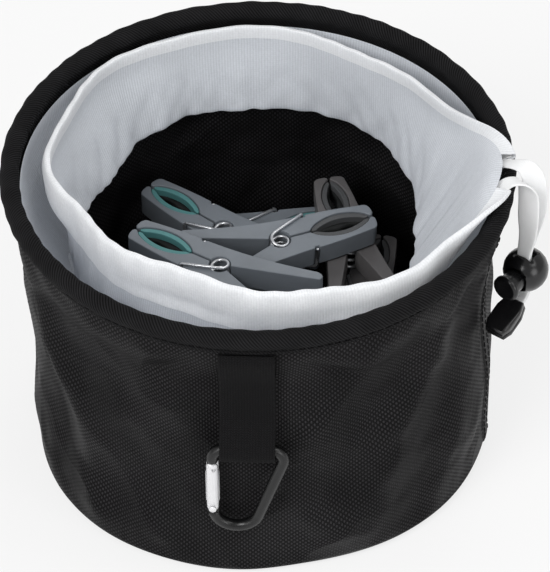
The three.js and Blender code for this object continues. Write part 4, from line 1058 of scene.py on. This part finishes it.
def mesh_collar():
    steps, fine = 420, 8
    first_tunnel = 7 * fine + fine // 2
    gap_half = math.degrees(EXIT_GAP / 2 / EXIT_RADIUS)
    angles = EXIT_ANGLE + np.linspace(0, 360, steps, endpoint=False)
    rows = []
    widths = []
    for angle in angles:
        line = smooth_line(collar_line(angle), fine)
        run = np.linspace(0, 1, len(line))
        ripple = sum(depth * wavy(angle, waves, bends, bend) for waves, bends, bend, depth in RIPPLES)
        line[:, 0] += ripple * hump(run, *RIPPLE_SPAN) ** 1.5
        line[:, 0] += crumple(angle, line[:, 1]) * hump(run, *CRUMPLE_SPAN) ** 0.8 * gather_fade(angle)
        rows.append(polar(line[:, 0], angle, line[:, 1]))
        widths.append(lengths_along(line))
    widths.append(widths[0])
    around = np.linspace(0, 2 * np.pi * COLLAR_RING, steps + 1)
    uvs = np.stack([np.repeat(around[:, None], len(rows[0]), axis=1), np.array(widths)], axis=-1)

    def keep(i, k):
        return k < first_tunnel or abs(from_middle(angles[i] + 180 / steps, EXIT_ANGLE)) > gap_half

    mesh = grid_mesh("collar", rows, uvs, around=True, keep=keep)
    obj = show(mesh, "basket", "collar", ["mesh_collar"])
    mesh.materials.append(finishes["tunnel"])
    doubled = [k >= first_tunnel for i in range(steps) for k in range(len(rows[0]) - 1) if keep(i, k)]
    mesh.polygons.foreach_set("material_index", np.array(doubled, np.int32))


def tunnel_ribbon():
    """The ribbon inside the tunnel, from one side of the exit round to the other."""
    gap_half = math.degrees((EXIT_GAP / 2 + CLEARANCE) / RIM_RADIUS)
    places, across = [], []
    for angle in EXIT_ANGLE + np.linspace(gap_half, 360 - gap_half, 240):
        foot, up, _ = tunnel_frame(angle)
        middle = foot + up * TUNNEL_HEIGHT / 2
        places.append(polar(middle[0], angle, middle[1]))
        across.append(polar(up[0], angle, up[1]))
    widths = np.full(len(places), RIBBON_WIDTH)
    mesh = ribbon_mesh("tunnel_ribbon", np.array(places), across, widths)
    show(mesh, "basket", "ribbon", ["drawstring_loop"])


mesh_collar()
tunnel_ribbon()


# Webbing tab: doubled tape sewn under the rim, looped round the snap hook

def webbing_tab():
    rod_height = tab_top - TAB_DROP
    loop = ROD / 2 + TAB_LOOP_PLAY + TAB_CLOTH / 2
    plies = TAB_CLOTH + CLEARANCE
    back = wall_middle + tab_offset
    front = back + plies
    rod_reach = back + loop
    joined = rod_height + TAB_LOOP_LENGTH
    easing = rod_height + TAB_LOOP_LENGTH / 2
    end = wall_top_radius + tab_offset
    line = np.vstack([
        [(end, tab_top)],
        flare_line(tab_offset, 12)[::-1],
        straight((back, flare_foot), (back, rod_height), 10)[1:],
        arc((rod_reach, rod_height), loop, 180, 360, 16)[1:],
        bezier((rod_reach + loop, rod_height), (rod_reach + loop, easing), (front, easing), (front, joined),
               12)[1:],
        straight((front, joined), (front, flare_foot), 5)[1:],
        flare_line(tab_offset + plies, 12)[1:],
        [(end + plies * 0.7, tab_top - 1.2)],
        [(end + plies * 0.25, tab_top)],
    ])
    half, thick = TAB_WIDTH / 2, TAB_CLOTH / 2
    flat = np.linspace(-half + 1.2, half - 1.2, 11)
    side = np.concatenate([[-half, -half + 0.5], flat, [half - 0.5, half]])
    puff = np.concatenate([[0.3, 0.85], np.full(len(flat), 1.0), [0.85, 0.3]])
    section = np.vstack([np.column_stack([side, puff * thick]),
                         np.column_stack([side[::-1], -puff[::-1] * thick])])
    thinning = np.ones(len(line))
    thinning[[0, -1]] = 0.35
    thinning[-2] = 0.75
    rows = []
    for place, way, share in zip(line, outward(line), thinning):
        reach = place + np.outer(section[:, 1] * share, way)
        rows.append(np.column_stack([section[:, 0], -reach[:, 0], reach[:, 1]]))
    girth = np.append(section[:, 0], section[0, 0])
    uvs = cloth_grid(lengths_along(line), girth)[..., ::-1]
    mesh = grid_mesh("tab_tape", rows, uvs, tube=True, ends=True)
    show(mesh, "tab", "webbing", ["webbing_tab"])


webbing_tab()


# Clothes pegs: two moulded halves with soft grips in the jaws, rocking on a wire spring

GRIP_FROM = 12.5
GRIP_TO = 36.2
GRIP_RISE = 4.7
GRIP_LINING = 2.1
GRIP_MARGIN = 0.18
GRIP_INSET = 1.1
# Thickness of the near-black sheet across a jaw's eye, painted shade where the eye is an open hole
EYE_SHADE_THICKNESS = 3.2
# Grey-gripped pegs up to this layer are a duskier lot
DUSKY_TO = 5
coil_room = PEG_COIL_RADIUS + PEG_WIRE / 2 + CLEARANCE


def grip_arc(share):
    """Height of the grip's outer edge along its length."""
    return 0.45 + GRIP_RISE * np.sin(np.pi * share) ** 0.62


def peg_body_outline():
    """One half of a peg from its nose over the back to the handle, and along the jaw's inner face."""
    splay = math.radians(PEG_HANDLE_SPLAY)
    tip = np.array([-PEG_HANDLE * math.cos(splay), PEG_HANDLE * math.sin(splay)])
    groove = PEG_WIRE / 2 + CLEARANCE
    groove_floor = PEG_JAW_DEPTH - groove
    groove_front = (PEG_HOOK_REACH + groove, PEG_JAW_DEPTH)
    groove_back = (PEG_HOOK_REACH - groove, PEG_JAW_DEPTH)
    nose_back = (PEG_JAW - 3, PEG_TIP_DEPTH)
    handle_back = (tip[0] + 3, tip[1] + PEG_HANDLE_TIP)
    share = np.linspace(0, 1, 17)[1:-1]
    return np.vstack([
        bezier((PEG_JAW, 1.4), (PEG_JAW, 4.6), (PEG_JAW - 0.6, PEG_TIP_DEPTH), nose_back, 8),
        bezier(nose_back, (30, 7), (20, 8.2), groove_front, 10)[1:],
        [(groove_front[0], groove_floor), (groove_back[0], groove_floor), groove_back],
        bezier(groove_back, (4, 8.9), (-10, 9.4), handle_back, 16)[1:],
        bezier(handle_back, (tip[0] - 0.4, handle_back[1]), (tip[0] - 0.8, tip[1] + 1),
               (tip[0] + 0.6, tip[1] - 0.1), 8)[1:],
        [(-coil_room * math.cos(splay), coil_room * math.sin(splay))],
        arc((0, 0), coil_room, 180 - PEG_HANDLE_SPLAY, 5, 10)[1:],
        [(GRIP_FROM - 0.4, 0.4)],
        np.column_stack([GRIP_FROM + (GRIP_TO - GRIP_FROM) * share, grip_arc(share)]),
        [(GRIP_TO + 0.2, 0.45), (PEG_JAW - 0.7, 0.4)],
    ])


def peg_grip_outlines():
    """The soft lining round a jaw's eye, and a near-black sheet across the eye: painted shade of the open hole.
    """
    share = np.linspace(0.02, 0.98, 25)
    reach = GRIP_FROM + (GRIP_TO - GRIP_FROM) * share
    outer = grip_arc(share) - GRIP_MARGIN
    lip = np.maximum(outer - GRIP_LINING, 0.3)
    gap = 0.32 + 1.55 * np.sin(np.pi * share) ** 2 * (0.55 - 0.45 * np.cos(4 * np.pi * share + 0.4))

    def strip(high, low):
        low = np.minimum(low, outer - 0.12)
        return np.vstack([np.column_stack([reach, high]), np.column_stack([reach, low])[::-1]])

    return strip(outer, lip), strip(outer - 0.06, gap)


def slab_mesh(name, outline, depth, mirror, place):
    """An outline extruded along Z about its middle and put in place; mirrored it is the peg's other half."""
    if mirror:
        outline = outline * [1, -1]
    area = np.sum(outline[:, 0] * np.roll(outline[:, 1], -1) - outline[:, 1] * np.roll(outline[:, 0], -1))
    if area < 0:
        outline = outline[::-1]
    count = len(outline)
    low = np.column_stack([outline, np.full(count, -depth / 2)])
    high = np.column_stack([outline, np.full(count, depth / 2)])
    faces = [tuple(range(count))[::-1], tuple(range(count, 2 * count))]
    faces += [(k, (k + 1) % count, count + (k + 1) % count, count + k) for k in range(count)]
    mesh = mesh_from(name, np.vstack([low, high]), faces)
    mesh.transform(place)
    return mesh


def peg_spring_line(fine):
    """A hook in one half's groove, an arm to the coil, the coil, and the same back."""
    arm = PEG_WIDTH / 2 + CLEARANCE + PEG_WIRE / 2
    depth = PEG_JAW_DEPTH
    leave = math.acos(PEG_COIL_RADIUS / math.hypot(PEG_HOOK_REACH, depth))
    start = math.atan2(depth, PEG_HOOK_REACH) + leave
    sweep = 2 * math.pi * PEG_COIL_TURNS + 2 * (math.pi - start)
    steps = round(sweep / (2 * math.pi) * fine)
    bend = PEG_WIRE
    hook_end = PEG_WIDTH / 2 - bend
    ahead = [(PEG_HOOK_REACH, depth, -hook_end), (PEG_HOOK_REACH, depth, arm - bend),
             (PEG_HOOK_REACH - 0.15 * bend, depth - 0.08 * bend, arm - 0.4 * bend),
             (PEG_HOOK_REACH - 0.5 * bend, depth - 0.25 * bend, arm)]
    share = np.linspace(0, 1, steps + 1)
    coil = polar(PEG_COIL_RADIUS, np.degrees(start + sweep * share), arm - 2 * arm * share)
    behind = [(x, -y, -z) for x, y, z in ahead[::-1]]
    return np.vstack([ahead, coil, behind])


def soften(obj, width, segments):
    edge = obj.modifiers.new("edges", "BEVEL")
    edge.width = width * MM
    edge.segments = segments
    edge.limit_method = "ANGLE"
    edge.angle_limit = math.radians(40)
    edge.harden_normals = True


def make_pegs():
    body_line, spring_line = peg_body_outline(), peg_spring_line(24)
    lining_line, eye_shade_line = peg_grip_outlines()
    for number, (layer, x, y, heading, lean, side, grip) in enumerate(PEGS, 1):
        coil = Vector((x * PEG_GRID, y * PEG_GRID, PEG_FLOOR + layer * PEG_LAYER))
        place = Matrix.Translation(coil * MM) @ Matrix.Rotation(math.radians(heading), 4, "Z")
        place = place @ Matrix.Rotation(math.radians(lean), 4, "X")
        shade = "peg" if grip == "teal" or layer > DUSKY_TO else "peg_dusky"
        lever = f"peg_{number}_moving_half"
        for half, body, mirror in (("body", "pegs", side > 0), ("lever", lever, side < 0)):
            name = f"peg_{number}_{half}"
            mesh = slab_mesh(name + "_shell", body_line, PEG_WIDTH, mirror, place)
            soften(show(mesh, body, shade, [name]), 0.75, 3)
            mesh = slab_mesh(name + "_grip", lining_line, PEG_WIDTH - GRIP_INSET, mirror, place)
            soften(show(mesh, body, "grip_" + grip), 0.35, 2)
            # A near-black sheet across the eye: painted shade where the eye is open
            mesh = slab_mesh(name + "_web", eye_shade_line, EYE_SHADE_THICKNESS, mirror, place)
            show(mesh, body, "grip_web")
        mesh = tube_mesh(f"peg_{number}_wire", spring_line, PEG_WIRE / 2, 10)
        mesh.transform(place)
        wire = show(mesh, None, "steel", [f"peg_{number}_spring"])
        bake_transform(wire)


make_pegs()


# The rigid pieces that keep their solids take their finish here

SOLID_FINISH = {
    "rim_hoop": "steel", "lock_ball": "plastic", "lock_plunger": "plastic",
    "cord_end_front": "plastic", "cord_end_back": "plastic", "hook_body": "enamel", "hook_gate": "alloy",
    "gate_rivet": "alloy", "gate_latch_pin": "alloy", "gate_spring": "steel",
}
SHARP_FROM = 32
JOINED_WITHIN = 0.001


def dress_solids():
    for name, finish in SOLID_FINISH.items():
        node = nodes[name]
        node.data.materials.clear()
        node.data.materials.append(finishes[finish])
        node.data.polygons.foreach_set("use_smooth", np.full(len(node.data.polygons), True))
        node.data.set_sharp_from_angle(angle=math.radians(SHARP_FROM))
        joined = node.modifiers.new("joined", "WELD")
        joined.merge_threshold = JOINED_WITHIN * MM
        even = node.modifiers.new("even_shading", "WEIGHTED_NORMAL")
        even.keep_sharp = True


dress_solids()


# Floor, light and background

FLOOR_REACH = 4000
FLOOR_GLOW = 0.75
WORLD_STRENGTH = 0.49
LAMP_AIM = (0, 0, 0.08)
# Place in metres, size and watts
LAMPS = {
    "key": ((-0.75, -1.15, 1.35), 0.9, 16.3),
    "low_left": ((-1.1, -1.2, 0.45), 0.8, 3),
    "low_right": ((1.1, -1.0, 0.5), 0.8, 4.5),
    "back": ((0.3, 1.0, 1.1), 0.8, 3),
    "right_top": ((1.0, -0.35, 1.3), 0.8, 3.6),
}


def white_for(tree, rays, share, plain, white, output):
    """Mixes a share of white into a plain shader, for the two kinds of ray that see it as background."""
    path = tree.nodes.new("ShaderNodeLightPath")
    seen = tree.nodes.new("ShaderNodeMath")
    seen.operation = "MAXIMUM"
    for ray, socket in zip(rays, seen.inputs):
        tree.links.new(path.outputs[ray], socket)
    part = tree.nodes.new("ShaderNodeMath")
    part.operation = "MULTIPLY"
    part.inputs[1].default_value = share
    tree.links.new(seen.outputs[0], part.inputs[0])
    mix = tree.nodes.new("ShaderNodeMixShader")
    for source, socket in zip((part, plain, white), mix.inputs):
        tree.links.new(source.outputs[0], socket)
    tree.links.new(mix.outputs[0], tree.nodes[output].inputs[0])


def plain_floor():
    corners = np.array([(-1, -1, 0), (1, -1, 0), (1, 1, 0), (-1, 1, 0)]) * FLOOR_REACH
    mesh = mesh_from("floor", corners, [(0, 1, 2, 3)])
    floor = bpy.data.objects.new("floor", mesh)
    scene.collection.objects.link(floor)
    pale = Finish("pale_floor", (0.85, 0.85, 0.85), 0.9, Specular_IOR_Level=0.1)
    white_for(pale.tree, ("Is Camera Ray", "Is Glossy Ray"), FLOOR_GLOW, pale.shader,
              pale.node("ShaderNodeEmission"), "Material Output")
    mesh.materials.append(pale.material)


def soft_lamp(name, place, size, watts):
    lamp = bpy.data.lights.new(name, "AREA")
    lamp.shape = "DISK"
    lamp.size = size
    lamp.energy = watts
    obj = bpy.data.objects.new(name, lamp)
    obj.location = place
    obj.rotation_mode = "QUATERNION"
    obj.rotation_quaternion = (Vector(LAMP_AIM) - Vector(place)).to_track_quat("-Z", "Y")
    scene.collection.objects.link(obj)


def studio():
    world = bpy.data.worlds.new("studio")
    scene.world = world
    world.use_nodes = True
    tree = world.node_tree
    soft = tree.nodes["Background"]
    soft.inputs["Color"].default_value = (1, 1, 1, 1)
    soft.inputs["Strength"].default_value = WORLD_STRENGTH
    white = tree.nodes.new("ShaderNodeBackground")
    white_for(tree, ("Is Camera Ray", "Is Transmission Ray"), 1.0, soft, white, "World Output")
    for name, (place, size, watts) in LAMPS.items():
        soft_lamp(name, place, size, watts)


plain_floor()
studio()
scene.view_settings.view_transform = "Standard"
